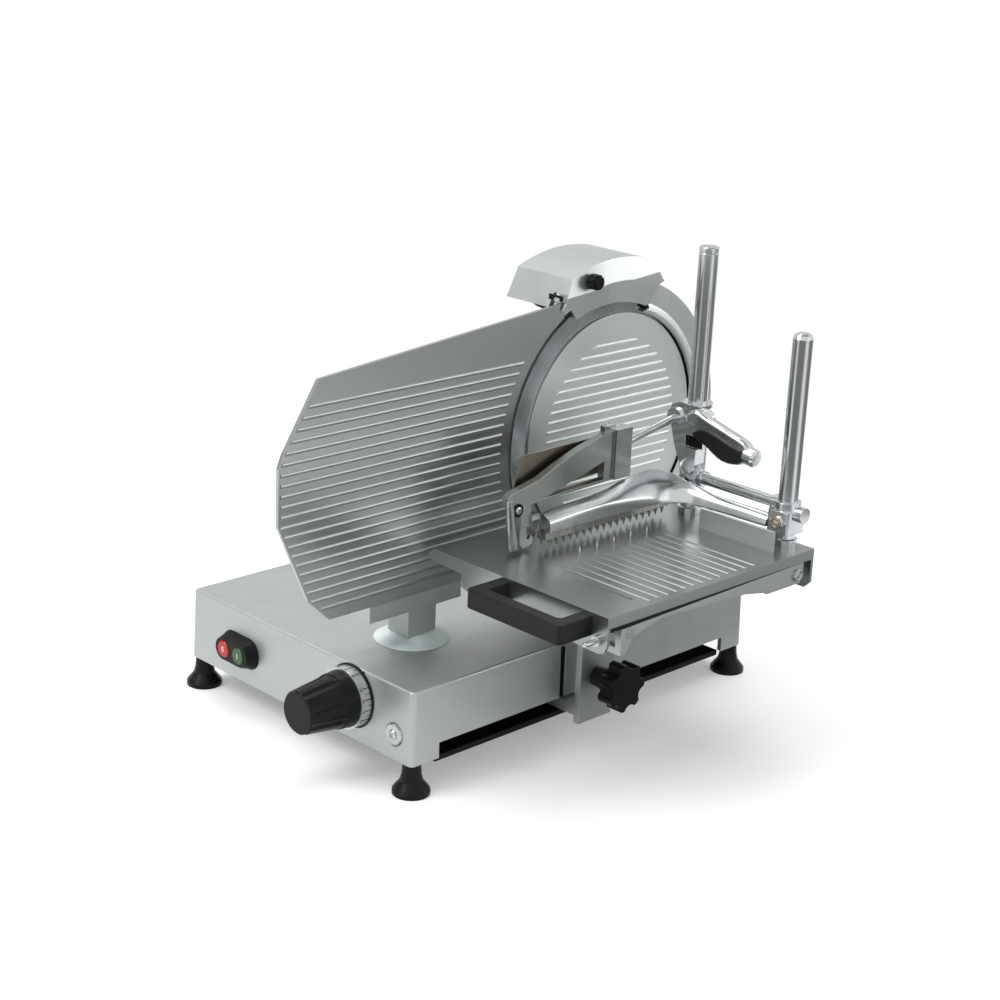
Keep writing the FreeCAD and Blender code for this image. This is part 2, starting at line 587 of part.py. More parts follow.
def meat_table():
    """Ribbed tray top with front and rear flanges, right lip and oblong recess."""
    left = f"({CUT} + table_left)"
    under = "(table_top - table_sheet)"
    top = box(left, TABLE_X, TABLE_Y, TABLE_END, under, "table_top")
    flange = prism("XZ_Plane", [
        (f"{CUT} + table_ear", "table_top - 6"), (f"{CUT} + table_ear + 8", "table_top"), (TABLE_X, "table_top"),
        (TABLE_X, "flange_low + 12"), (f"{TABLE_X} - 4", "flange_low + 3"), (f"{TABLE_X} - 12", "flange_low"),
        (f"{CUT} + table_ear + 66", "flange_low + 8"), (f"{CUT} + table_ear + 54", "flange_low + 12"),
        (f"{CUT} + table_ear + 54", "table_top - 17"), (f"{CUT} + table_ear + 2", "table_top - 15")],
        TABLE_Y, "table_sheet")
    rear = prism("XZ_Plane", [
        (f"{CUT} + 60", "table_top"), (TABLE_X, "table_top"), (TABLE_X, "rear_flange_low + 8"),
        (f"{TABLE_X} - 8", "rear_flange_low"), (f"{CUT} + 80", "rear_flange_low"), (f"{CUT} + 60", "table_top - 20")],
        f"{TABLE_END} - table_sheet", "table_sheet")
    lip = box(f"{TABLE_X} - table_sheet", TABLE_X, TABLE_Y, TABLE_END, "lip_low", "table_top")
    ribs = []
    for i in range(13):
        ribs.append(rod("x", f"{LEG_X} + 2", f"{FRONT_ROD_Y} + 33 + ({i} * table_rib_pitch)",
                        "table_top - rib_sink", "rib_radius", f"{TABLE_X} - {LEG_X} - 10"))
    recess_y = f"({FRONT_ROD_Y} + 14)"
    recess = [box(f"{LEG_X} + 48", f"{LEG_X} + 116", f"{recess_y} - 9", f"{recess_y} + 9", "table_top - 1.2",
                  "table_top + 1")]
    for x in (f"{LEG_X} + 48", f"{LEG_X} + 116"):
        recess.append(rod("z", x, recess_y, "table_top - 1.2", "9", "3"))
    holes = [rod("z", x, POST_Y, f"{under} - 1", "8 + fit", "table_sheet + 4") for x in (INNER_X, OUTER_X)]
    spikes = [rod("z", f"{TOOTH_X} + 48", f"{LEG_Y} - 2 + ({i} * 29)", f"{under} - 1", "1.5", "table_sheet + 2")
              for i in range(5)]
    slab = cut(fuse(top, flange, rear, lip, *ribs), *recess, *holes, *spikes)
    part("meat_table", slab)
    needles = []
    for i in range(5):
        y = f"{LEG_Y} - 2 + ({i} * 29)"
        needles.append(fuse(rod("z", f"{TOOTH_X} + 48", y, under, "1.5", "table_sheet + 5"),
                            cone("z", f"{TOOTH_X} + 48", y, "table_top + 5", "1.5", "0.3", "6")))
    part("table_spikes", group(*needles))


def table_handle():
    """Square-section U handle on the front flange."""
    x0 = f"({CUT} + handle_left)"
    x1 = f"({CUT} + handle_left + handle_width)"
    y0 = f"({TABLE_Y} - handle_reach)"
    solid = cut(box(x0, x1, y0, TABLE_Y, "handle_low", "handle_low + handle_height"),
                box(f"{x0} + handle_bar", f"{x1} - handle_bar", f"{y0} + handle_bar", f"{TABLE_Y} + 1",
                    "handle_low - 1", "handle_low + handle_height + 1"))
    doc.recompute()
    front = solid.Shape.BoundBox.YMin if not solid.Shape.isNull() else 0
    upright = rounded(solid, 5.0, lambda edge: runs_along(edge, 2) and edge.Vertexes[0].Y < front + 40)
    doc.recompute()
    top = upright.Shape.BoundBox.ZMax
    low = upright.Shape.BoundBox.ZMin
    back = upright.Shape.BoundBox.YMax
    soft = rounded(upright, 2.0, lambda edge: (edge.BoundBox.ZMin > top - 0.1 or edge.BoundBox.ZMax < low + 0.1)
                   and edge.BoundBox.YMin < back - 1)
    part("table_handle", soft)


def table_fittings():
    part("table_fence", box(f"{INNER_X} + 48", f"{OUTER_X} + 11", f"{POST_Y} - 37.5", f"{POST_Y} - 33.5",
                            "table_top", "table_top + 25"))
    runners = []
    for y in (ROD_Y, FRONT_ROD_Y):
        block = box(f"{LEG_X} + 4", f"{LEG_X} + 34", f"{y} - 13", f"{y} + 13", "rod_height - 12",
                    "table_top - table_sheet")
        runners.append(cut(block, rod("x", f"{LEG_X} + 3", y, "rod_height", "rod_radius + fit", "32")))
    part("table_runners", group(*runners))
    pin_x = f"({TABLE_X} - 13)"
    pin = fuse(rod("y", pin_x, f"{TABLE_Y} - 5", "flange_low + 15", "6", "5"),
               rod("y", pin_x, f"{TABLE_Y} - 21", "flange_low + 15", "3", "17"),
               cone("y", pin_x, f"{TABLE_Y} - 23", "flange_low + 15", "1.5", "3", "2"))
    part("flange_screw", pin)


def posts():
    """Flat-topped inner post and domed outer post, each with a foot collar and a nut."""
    for label, x, top in (("inner_post", INNER_X, "inner_post_top"), ("outer_post", OUTER_X, "outer_post_top")):
        if label == "inner_post":
            tip = [(f"{top} - table_top - 8", "post_radius"), (f"{top} - table_top - 7", "post_radius - 0.8"),
                   (f"{top} - table_top - 6", "post_radius"), (f"{top} - table_top - 1", "post_radius"),
                   (f"{top} - table_top", "post_radius - 1.5")]
        else:
            tip = [(f"{top} - table_top - 7", "post_radius"), (f"{top} - table_top - 3", "post_radius - 2"),
                   (f"{top} - table_top - 0.8", "post_radius - 5.5"), (f"{top} - table_top", "post_radius - 9")]
        profile = [("-table_sheet", "0 * gap"), ("-table_sheet", "11"), ("-table_sheet - 7", "11"),
                   ("-table_sheet - 7", "0 * gap")]
        nut = spun("z", profile, x, POST_Y, "table_top")
        column = spun("z", [("-table_sheet - 4", "0 * gap"), ("-table_sheet - 4", "8"), ("0 * gap", "8"),
                            ("0 * gap", "post_radius + 3"), ("8", "post_radius + 3"), ("9", "post_radius")]
                      + tip + [(f"{top} - table_top", "0 * gap")], x, POST_Y, "table_top")
        part(label, fuse(nut, column))


# ---------------------------------------------------------------- blade unit

def blade_unit():
    """Blade, its hollow shaft and pulley, in the frame of the cutting plane."""
    back = "-(cover_plate + blade_plate + 4)"
    profile = [(back, "blade_shaft_radius + 0.2"), (f"{back} + blade_plate", "blade_shaft_radius + 0.2"),
               (f"{back} + blade_plate", "blade_step"), ("-4.2", "blade_step"), ("-0.3", "blade_radius"),
               ("-0.8", "blade_radius"), ("-6.5", "blade_radius - 15"), ("-11", "blade_step"), (back, "blade_step - 6")]
    part("blade", spun("x", profile, CUT, BLADE_Y, BLADE_Z))
    bore = "shaft_bore"
    shaft = [("-pulley_left - 10", bore), ("-pulley_left - 10", "blade_shaft_radius"),
             (f"{back} - 6", "blade_shaft_radius"), (f"{back} - 6", "40"), (f"{back} - 0.05", "40"),
             (f"{back} - 0.05", "blade_shaft_radius"), ("-cover_plate - 2", "blade_shaft_radius"),
             ("-cover_plate - 2", bore)]
    part("blade_shaft", spun("x", shaft, CUT, BLADE_Y, BLADE_Z))
    pulley = [("-pulley_left - 8", "blade_shaft_radius"), ("-pulley_left - 8", "driven_radius + 2"),
              ("-pulley_left - 6.5", "driven_radius + 2"), ("-pulley_left - 6.5", "driven_radius"),
              ("-pulley_left + 6.5", "driven_radius"), ("-pulley_left + 6.5", "driven_radius + 2"),
              ("-pulley_left + 8", "driven_radius + 2"), ("-pulley_left + 8", "blade_shaft_radius")]
    part("blade_pulley", spun("x", pulley, CUT, BLADE_Y, BLADE_Z))


def blade_head():
    """Hollow upright casting that holds the blade bearings and lets the belt through."""
    x0 = f"({PULLEY_X} - 17)"
    x1 = f"({CUT} - 19.5)"
    half = "(driven_radius + 19)"
    foot = box(f"{x0} - 8", f"{x1} + 4", f"{BLADE_Y} - {half} - 18", f"{BLADE_Y} + {half} + 18", "base_top",
               "base_top + 12")
    column = box(x0, x1, f"{BLADE_Y} - {half}", f"{BLADE_Y} + {half}", "base_top", "blade_height")
    drum = rod("x", x0, BLADE_Y, BLADE_Z, half, f"{x1} - {x0}")
    mast = box(x0, f"{x0} + 30", f"{BLADE_Y} - 42", f"{BLADE_Y} + 43", "blade_height + 40",
               "blade_height + blade_radius - 30")
    inner = "(driven_radius + 11)"
    room = box(f"{x0} - 9", f"{x1} - 20", f"{BLADE_Y} - {inner}", f"{BLADE_Y} + {inner}", "base_top - 1",
               "blade_height")
    room_top = rod("x", f"{x0} - 9", BLADE_Y, BLADE_Z, inner, f"{x1} - {x0} - 11")
    bore = rod("x", f"{x0} - 1", BLADE_Y, BLADE_Z, "blade_shaft_radius + 11", f"{x1} - {x0} + 2")
    part("blade_head", cut(fuse(foot, column, drum, mast), room, room_top, bore))
    rings = []
    for start in (f"{x1} - 19.5", f"{x1} - 9.5"):
        rings.append(cut(rod("x", start, BLADE_Y, BLADE_Z, "blade_shaft_radius + 11", "9"),
                         rod("x", f"{start} - 1", BLADE_Y, BLADE_Z, "blade_shaft_radius + fit", "11")))
    part("shaft_bearings", group(*rings))
    lid = "(driven_radius + 18)"
    plate = fuse(box(f"{x0} - 4", f"{x0} - 0.1", f"{BLADE_Y} - {lid}", f"{BLADE_Y} + {lid}", "base_top + 12.2",
                     "blade_height"),
                 rod("x", f"{x0} - 4", BLADE_Y, BLADE_Z, lid, "3.9"))
    part("belt_cover", cut(plate, rod("x", f"{x0} - 5", BLADE_Y, BLADE_Z, "shaft_bore - 0.5 + fit", "6")))


def blade_cover():
    """Ribbed disc in the middle of the blade, held still by a tie rod through the shaft."""
    disc = rod("x", f"{CUT} - cover_plate - 1.8", BLADE_Y, BLADE_Z, "cover_radius", "cover_plate")
    field = rod("x", f"{CUT} - cover_plate", BLADE_Y, BLADE_Z, "cover_rib_field", "2 * cover_plate")
    strips = []
    for i in range(-9, 10):
        strips.append(rod("y", f"{CUT} - 1.8 - rib_sink", f"{BLADE_Y} - cover_radius",
                          f"blade_height + ({i} * cover_rib_pitch)", "rib_radius", "2 * cover_radius"))
    ribs = common(fuse(*strips), field)
    socket = rod("x", f"{CUT} - cover_plate - 2", BLADE_Y, BLADE_Z, "shaft_bore - 0.5", "4")
    part("blade_cover", cut(fuse(disc, ribs), socket))
    x0 = f"({PULLEY_X} - 17)"
    end = f"({CUT} - cover_plate + 1.9)"
    tie = fuse(rod("x", f"{x0} - 10", BLADE_Y, BLADE_Z, "shaft_bore - 0.5", f"{end} - {x0} + 10"),
               rod("x", f"{x0} - 24", BLADE_Y, BLADE_Z, "16", "16"),
               cone("x", f"{x0} - 8", BLADE_Y, BLADE_Z, "16", "9", "3.9"))
    part("cover_tie_rod", tie)


def beyond_joint(margin):
    """Wedge above the slanted joint between the ring guard and the sharpener hood."""
    side = f"({BLADE_Y} + 46 + ({margin}))"
    return prism("YZ_Plane", [
        (f"{side} - 10.5", f"{BLADE_Z} + 133.25"), (f"{side} + 31.5", f"{BLADE_Z} + 184.25"),
        (f"{side} + 31.5", f"{BLADE_Z} + 240"), (f"{side} - 150", f"{BLADE_Z} + 240"),
        (f"{side} - 150", f"{BLADE_Z} + 133.25")], f"{CUT} - 25", "40")


def ring_guard():
    """Guard round the rear of the blade edge, with a soft raised inner rim."""
    back = "-(cover_plate + blade_plate + 9.8)"
    lip = "0.5"
    front = f"({lip} + ring_sheet)"
    wall = "ring_radius - ring_sheet - 0.8"
    profile = [(back, "62"), (f"{back} + ring_sheet", "62"), (f"{back} + ring_sheet", wall), (lip, wall),
               (lip, "ring_inner"), (f"{front} + 1", "ring_inner + 1.5"), (f"{front} + 2", "ring_inner + 5"),
               (f"{front} + 1.2", "ring_inner + 9"), (front, "ring_inner + 13"), (front, "ring_radius"),
               (back, "ring_radius")]
    ring = spun("x", profile, CUT, BLADE_Y, BLADE_Z, angle=152, tilt=-1)
    back_plate = spun("x", [(back, "62"), (f"{back} + ring_sheet", "62"), (f"{back} + ring_sheet", "ring_back"),
                            (back, "ring_back")], CUT, BLADE_Y, BLADE_Z)
    part("ring_guard", fuse(cut(ring, beyond_joint("gap")), back_plate))


# ---------------------------------------------------------------- gauge plate

def gauge_outline(inset):
    """Corner points of the gauge plate, pulled in by a margin."""
    y = f"({FRONT} - 108)"
    return [
        (f"{y} + 73.5 + {inset}", f"gauge_low + {inset}"), (f"{BLADE_Y} - 95", f"gauge_low + {inset}"),
        (f"{BLADE_Y} - 95", f"blade_height + blade_radius - 4.2 - {inset}"),
        (f"{y} + 53 + {inset}", f"gauge_low + 280 - {inset}"), (f"{y} + 6 + {inset}", "gauge_low + 204"),
        (f"{y} + {inset}", "gauge_low + 189"), (f"{y} + {inset}", "gauge_low + 123"),
        (f"{y} + 17 + {inset}", "gauge_low + 85"), (f"{y} + 42.5 + {inset}", "gauge_low + 29")]


def gauge_plate():
    """Ribbed stop plate with an arc cut round the blade."""
    back = f"({CUT} - gauge_thick - 1.5)"
    plate = prism("YZ_Plane", gauge_outline("0"), back, "gauge_thick")
    arc = rod("x", f"{back} - 1", BLADE_Y, BLADE_Z, "blade_radius + gauge_clear", "gauge_thick + 9")
    strips = []
    for i in range(21):
        strips.append(rod("y", f"{CUT} - 1.5 - rib_sink", f"{FRONT} - 110",
                          f"gauge_rib_first + ({i} * gauge_rib_pitch)", "rib_radius", "blade_back + 110"))
    field = prism("YZ_Plane", gauge_outline("3"), f"{CUT} - 4", "8")
    ribs = common(fuse(*strips), field)
    rib_arc = rod("x", f"{CUT} - 9", BLADE_Y, BLADE_Z, "blade_radius + gauge_clear + 14", "18")
    part("gauge_plate", fuse(cut(plate, arc), cut(ribs, rib_arc)))


def gauge_bracket():
    """Column and bracket that carry the plate, with the slide inside the base."""
    half_x = "column_width / 2"
    half_y = "column_depth / 2"
    column = box(f"{COLUMN_X} - {half_x}", f"{COLUMN_X} + {half_x}", f"{COLUMN_Y} - {half_y}",
                 f"{COLUMN_Y} + {half_y}", "column_low", "bracket_low + 1")
    bar = box(f"{COLUMN_X} - {half_x}", f"{COLUMN_X} + {half_x}", f"{COLUMN_Y} - 81", f"{COLUMN_Y} + 61",
              "bracket_low", "gauge_low - 0.2")
    web = box(f"{COLUMN_X} - {half_x} + 6", f"{CUT} - gauge_thick - 1.7", f"{COLUMN_Y} - 78", f"{COLUMN_Y} + 58",
              "bracket_low", "gauge_low + 38")
    spigot = box(f"{COLUMN_X} - 8", f"{COLUMN_X} + 8", f"{COLUMN_Y} - 10", f"{COLUMN_Y} + 10", "110", "column_low + 1")
    screw_ys = [f"{COLUMN_Y} - 60", f"{COLUMN_Y} - 10", f"{COLUMN_Y} + 40"]
    holes = [rod("x", f"{COLUMN_X} - 40", y, "gauge_low + 22", "4.05", "60") for y in screw_ys]
    part("gauge_bracket", cut(fuse(column, bar, web, spigot), *holes))
    screws = []
    for y in screw_ys:
        head = rod("x", f"{COLUMN_X} - {half_x} - 0.2", y, "gauge_low + 22", "6.5", "6.1")
        shank = rod("x", f"{COLUMN_X} - {half_x} + 1", y, "gauge_low + 22", "4",
                    f"{CUT} - gauge_thick - 1.6 - ({COLUMN_X} - {half_x} + 1)")
        screws.append(fuse(head, shank))
    part("gauge_screws", group(*screws))
    seal = spun("z", [("gap", "seal_radius"), ("2", "seal_radius - 3"), ("5.5", "seal_radius - 16"),
                      ("9.7", "seal_radius - 23"), ("9.7", "13.5"), ("4", "13.5"), ("gap", "seal_radius - 8")],
                COLUMN_X, COLUMN_Y, "base_top")
    part("gauge_seal", seal)
    slider = box(f"{COLUMN_X} - {half_x}", f"{COLUMN_X} + 13", f"{COLUMN_Y} - 24", f"{COLUMN_Y} + 24", "60", "109.9")
    bores = [rod("x", f"{COLUMN_X} - 30", f"{COLUMN_Y} + ({side} * 15)", "74", "spindle_radius + fit", "60")
             for side in (-1, 1)]
    part("gauge_slider", cut(slider, *bores))
    start = f"({COLUMN_X} - column_width / 2 - gauge_travel - 16)"
    rods = [rod("x", start, f"{COLUMN_Y} + ({side} * 15)", "74", "spindle_radius", f"{CUT} + 20 - {start}")
            for side in (-1, 1)]
    part("gauge_guide_rods", group(*rods))


def thickness_knob():
    """Fluted black knob, silver dial ring and the spindle with its cam disc."""
    dial_back = f"({FRONT} - 2.2)"
    dial_front = f"({dial_back} - dial_length)"
    nose = f"({dial_front} - knob_length)"
    ring = cut(rod("y", CUT, dial_front, "knob_height", "dial_radius", "dial_length"),
               rod("y", CUT, f"{dial_front} - 1", "knob_height", "spindle_radius + 8", "dial_length + 2"))
    part("dial_ring", ring)
    grip = spun("y", [("0 * gap", "0 * gap"), ("0 * gap", "knob_nose - 2"), ("2", "knob_nose"),
                      ("knob_length - 14", "knob_root - 1"), ("knob_length - 13.9", "knob_root"),
                      ("knob_length - 0.1", "knob_root + 1.5"), ("knob_length - 0.1", "0 * gap")],
                CUT, nose, "knob_height")
    flutes = []
    for i in range(8):
        angle = 2 * math.pi * (i + 0.5) / 8
        x = f"{CUT} + (knob_root + 3) * {math.cos(angle):.5f}"
        z = f"knob_height + (knob_root + 3) * {math.sin(angle):.5f}"
        flutes.append(cone("y", x, f"{nose} - 1", z, "flute_radius", "flute_radius - 4", "knob_length - 20"))
        flutes.append(cone("y", x, f"{nose} - 1 + knob_length - 20", z, "flute_radius - 4", "flute_radius - 7.5",
                           "8"))
    bore = rod("y", CUT, f"{nose} + 10", "knob_height", "spindle_radius", "knob_length")
    part("thickness_knob", cut(grip, *flutes, bore))
    end = f"({COLUMN_Y} - 24 - 1)"
    spindle = fuse(rod("y", CUT, f"{nose} + 10", "knob_height", "spindle_radius", f"{end} - {nose} - 10"),
                   rod("y", CUT, f"{end} - 8", "knob_height", "26", "8"),
                   cut(rod("y", CUT, f"{dial_front} + 0.1", "knob_height", "spindle_radius + 8", "dial_length - 0.2"),
                       rod("y", CUT, f"{dial_front} - 1", "knob_height", "spindle_radius - 1", "40")))
    part("knob_spindle", spindle)


# ---------------------------------------------------------------- drive

def motor_unit():
    """Motor under the base top with its shaft and pulley."""
    back = f"(-{SIDE} + 64)"
    front = f"({PULLEY_X} - 22)"
    case = fuse(rod("x", back, BLADE_Y, "motor_height", "motor_radius", f"{front} - {back}"),
                cone("x", f"{back} - 12", BLADE_Y, "motor_height", "motor_radius - 10", "motor_radius", "12"),
                box(f"{back} + 30", f"{front} - 20", f"{BLADE_Y} - 24", f"{BLADE_Y} + 24", "motor_height",
                    "base_top - base_wall - 0.1"))
    part("motor", cut(case, rod("x", f"{front} - 30", BLADE_Y, "motor_height", "7 + fit", "40")))
    shaft = fuse(rod("x", f"{front} - 29", BLADE_Y, "motor_height", "7", f"{PULLEY_X} + 8 - {front} + 29"),
                 rod("x", f"{PULLEY_X} - 8", BLADE_Y, "motor_height", "drive_radius + 2", "1.5"),
                 rod("x", f"{PULLEY_X} - 8", BLADE_Y, "motor_height", "drive_radius", "16"),
                 rod("x", f"{PULLEY_X} + 6.5", BLADE_Y, "motor_height", "drive_radius + 2", "1.5"))
    part("motor_shaft", shaft)


def belt_ring(low_radius, high_radius, rise, width):
    """Face bounded by two circles and their outer tangents, padded along X."""
    lean = math.asin((high_radius - low_radius) / rise)
    right = (math.cos(lean), -math.sin(lean))

    def at(radius, height, across, up):
        return FreeCAD.Vector(0, radius * across, height + radius * up)

    low_right = at(low_radius, 0, right[0], right[1])
    low_left = at(low_radius, 0, -right[0], right[1])
    high_right = at(high_radius, rise, right[0], right[1])
    high_left = at(high_radius, rise, -right[0], right[1])
    edges = [Part.Arc(low_left, at(low_radius, 0, 0, -1), low_right).toShape(),
             Part.LineSegment(low_right, high_right).toShape(),
             Part.Arc(high_right, at(high_radius, rise, 0, 1), high_left).toShape(),
             Part.LineSegment(high_left, low_left).toShape()]
    return Part.Face(Part.Wire(edges)).extrude(FreeCAD.Vector(width, 0, 0))


def drive_belt():
    rise = size("blade_height") - size("motor_height")
    low = size("drive_radius") + size("gap")
    high = size("driven_radius") + size("gap")
    thick = size("belt_thick")
    outer = belt_ring(low + thick, high + thick, rise, size("belt_width"))
    inner = belt_ring(low, high, rise, size("belt_width"))
    belt = shaped("Belt", outer.cut(inner))
    seat(belt, f"{PULLEY_X} - belt_width / 2", BLADE_Y, "motor_height")
    part("drive_belt", belt)


# ---------------------------------------------------------------- sharpener

def hood_face(margin, low):
    """Cross-section of the sharpener hood about the blade centre, pulled in by a margin."""
    outer = 215.0 - margin

    def at(y, z):
        return FreeCAD.Vector(0, y, z)

    def on_arc(degrees):
        turn = math.radians(degrees)
        return at(outer * math.cos(turn), outer * math.sin(turn))

    left_low = at(-102 + margin, low)
    left_high = on_arc(113.2 - margin * 0.27)
    right_high = on_arc(79.5)
    right_mid = at(65 - margin, 193.5 - margin * 0.8)
    right_low = at(77 - margin * 1.4, 177.5 - margin * 0.2)
    right_end = at(68.5 - margin, 174.8 - margin)
    inner_end = at(59 - margin, low)
    edges = [Part.LineSegment(left_low, left_high).toShape(),
             Part.Arc(left_high, on_arc(97), right_high).toShape(),
             Part.LineSegment(right_high, right_mid).toShape(),
             Part.LineSegment(right_mid, right_low).toShape(),
             Part.LineSegment(right_low, right_end).toShape(),
             Part.LineSegment(right_end, inner_end).toShape(),
             Part.LineSegment(inner_end, left_low).toShape()]
    return Part.Face(Part.Wire(edges))


def sharpener():
    """Hood over the sharpening stones, its knob, and the base that carries the spindles."""
    depth = 96.0
    wall = 2.7
    low = 162.5
    # The upper part of the front wall leans back from a crease.
    lean = math.tan(math.radians(11))
    crease_rise = 0.085
    crease_start = -130.0
    crease_low = 184.5 + crease_rise * crease_start
    height = 70.0
    corners = [FreeCAD.Vector(x, crease_start, z) for x, z in
               ((depth, crease_low), (depth + 9, crease_low), (depth + 9, crease_low + height),
                (depth - height * lean, crease_low + height))]
    slope = Part.Face(Part.makePolygon(corners + [corners[0]])).extrude(
        FreeCAD.Vector(0, -2 * crease_start, -2 * crease_start * crease_rise))
    hood = hood_face(0, low).extrude(FreeCAD.Vector(depth, 0, 0)).cut(slope)
    room = hood_face(wall, low - 20).extrude(FreeCAD.Vector(depth - 2 * wall, 0, 0))
    room.translate(FreeCAD.Vector(wall, 0, 0))
    slope.translate(FreeCAD.Vector(-wall, 0, 0))
    room = room.cut(slope)
    # The front wall follows the blade down, and leaves the inner part of its bevel in view.
    along = FreeCAD.Vector(1, 0, 0)
    outer = Part.makeCylinder(size("ring_radius"), wall, FreeCAD.Vector(depth - wall, 0, 0), along)
    near = depth - wall - 1
    hole = Part.makeCylinder(size("hood_arc"), wall + 2, FreeCAD.Vector(near, -14.9, -0.5), along)
    joint = [(-14, 73.4), (46, 146.3), (67, 171.8), (76, 182.7), (0, 260), (-129, 242), (-102, 200),
             (-88.5, 162.2), (-66, 132.4)]
    corners = [FreeCAD.Vector(near, y, z) for y, z in joint]
    wedge = Part.Face(Part.makePolygon(corners + [corners[0]])).extrude(FreeCAD.Vector(wall + 2, 0, 0))
    segment = outer.cut(hole).common(wedge)
    notch = 70.5
    front_left = Part.makeBox(depth - wall - notch, 30, 29.5, FreeCAD.Vector(notch, -110, 150))
    shape = hood.cut(room).cut(front_left).fuse(segment).removeSplitter()
    knob_y = -55.4
    knob_z = 193.0
    stud_hole = Part.makeCylinder(4.05, wall + 8, FreeCAD.Vector(depth - wall - 6, knob_y, knob_z), along)
    cover = shaped("Hood", shape.cut(stud_hole))
    seat(cover, f"{CUT} + hood_front - {depth}", BLADE_Y, BLADE_Z)
    part("sharpener_cover", cover)
    x = f"({CUT} + hood_front)"
    y = f"({BLADE_Y} - 55.4)"
    z = "(blade_height + 193)"
    knob = cut(fuse(rod("x", f"{x} + gap", y, z, "9.5", "11"), rod("x", f"{x} + gap + 11", y, z, "7.5", "2"),
                    rod("x", f"{x} - 6.5", y, z, "4", "8")),
               *[rod("x", f"{x} + 1.5", f"{y} + {10.5 * math.cos(i * math.pi / 4):.4f}",
                     f"{z} + {10.5 * math.sin(i * math.pi / 4):.4f}", "2.2", "20") for i in range(8)])
    part("sharpener_knob", knob)
    left = f"({PULLEY_X} - 17)"
    top = "(blade_height + blade_radius)"
    shelf = box(left, f"{left} + 30", f"{BLADE_Y} - 42", f"{BLADE_Y} + 43", f"{top} - 30", f"{top} - 22")
    upright = box(f"{left} + 6", f"{left} + 22", f"{BLADE_Y} - 42", f"{BLADE_Y} + 43", f"{top} - 23", f"{top} + 24")
    spindles = [rod("x", f"{left} + 5", f"{BLADE_Y} + ({dy})", f"{top} + 6", "4 + fit", "30") for dy in (-22, 23)]
    part("sharpener_base", cut(fuse(shelf, upright), *spindles))
    for label, dy in (("grinding_stone", -22), ("deburring_stone", 23)):
        y = f"({BLADE_Y} + ({dy}))"
        part(label, fuse(rod("x", f"{left} + 7", y, f"{top} + 6", "4", "20"),
                         rod("x", f"{left} + 24", y, f"{top} + 6", "18", "9")))


# ---------------------------------------------------------------- press

GUARD_X = f"({INNER_X} - 26.4)"
GUARD_Y = f"({POST_Y} - 95.5)"
GUARD_Z = "(shaft_height + 52.5)"
GUARD_LINE = FreeCAD.Vector(9, 76, 21)
LEVER_X = f"({INNER_X} + 23)"
LEVER_Z = "(shaft_height + 80)"


def press():
    """Bosses, cross shaft and clamp that slide together on the two posts."""
    y = POST_Y
    boss = fuse(box(f"{OUTER_X} - 17", f"{OUTER_X} + 17", f"{y} - 18", f"{y} + 16", "shaft_height - 30",
                    "shaft_height - 3"),
                rod("z", OUTER_X, y, "shaft_height - 4", "post_radius + 4", "11"))
    upright = rounded(boss, 6.0, lambda edge: runs_along(edge, 2) and edge.Length > 20)
    knob = rod("x", f"{OUTER_X} + 12", f"{y} + 2", "shaft_height - 6", "9.5", "13")
    bolt = rod("y", OUTER_X, f"{y} - 20.5", "shaft_height - 17", "6.5", "4")
    ring = cut(rod("y", OUTER_X, f"{y} - 20", "shaft_height - 17", "8", "3"),
               rod("y", OUTER_X, f"{y} - 21", "shaft_height - 17", "7.2", "2"))
    shaft_seat = rod("x", f"{OUTER_X} - 19", y, "shaft_height + 0.5", "10", "12")
    bore = rod("z", OUTER_X, y, "shaft_height - 40", "post_radius + fit", "60")
    part("outer_boss", cut(fuse(upright, knob, bolt, ring, shaft_seat), bore))
    clamp_x = f"({INNER_X} + 16)"
    sleeve = fuse(rod("z", INNER_X, y, "shaft_height - 14", "post_radius + 4.5", "104"),
                  rod("z", INNER_X, y, "shaft_height + 89", "post_radius + 7", "5"),
                  rod("x", f"{INNER_X} + 10", y, "shaft_height + 0.5", "10", "11"))
    wing = prism("XZ_Plane", [
        (f"{INNER_X} - 14", "shaft_height + 94"), (f"{INNER_X} - 25", "shaft_height + 88"),
        (f"{INNER_X} - 26", "shaft_height + 76"), (f"{INNER_X} - 23", "shaft_height + 60"),
        (f"{INNER_X} - 16", "shaft_height + 38"), (f"{INNER_X} - 7", "shaft_height + 20"),
        (f"{INNER_X} - 1", "shaft_height + 6"), (f"{INNER_X} + 10", "shaft_height + 6"),
        (f"{INNER_X} + 17", "shaft_height + 20"), (f"{INNER_X} + 19", "shaft_height + 60"),
        (f"{INNER_X} + 19", "shaft_height + 94")], f"{y} - 18.5", "18")
    window = box(f"{INNER_X} + 1", f"{INNER_X} + 24", f"{y} - 20", f"{y} - 13", "shaft_height + 40",
                 "shaft_height + 56")
    through = rod("z", INNER_X, y, "shaft_height - 40", "post_radius + fit", "160")
    ear = rod("y", f"{INNER_X} - 17", f"{y} - 22", "shaft_height + 75", "11", "12")
    guard_bore = shaped("GuardBore", Part.makeCylinder(size("guard_rod") + size("fit"), 110, FreeCAD.Vector(0, 0, 0),
                                                       GUARD_LINE))
    seat(guard_bore, GUARD_X, GUARD_Y, GUARD_Z)
    lever_boss = rod("y", LEVER_X, f"{y} - 18.5", LEVER_Z, "lever_pivot + 5", "16")
    lever_bore = rod("y", LEVER_X, f"{y} - 19.5", LEVER_Z, "lever_pivot + fit", "14")
    part("post_clamp", cut(fuse(sleeve, wing, ear, lever_boss), window, through, guard_bore, lever_bore))
    part("cross_shaft", rod("x", f"{clamp_x} + 5", y, "shaft_height + 0.5", "shaft_radius",
                            f"{OUTER_X} - 19 - {clamp_x} - 5"))


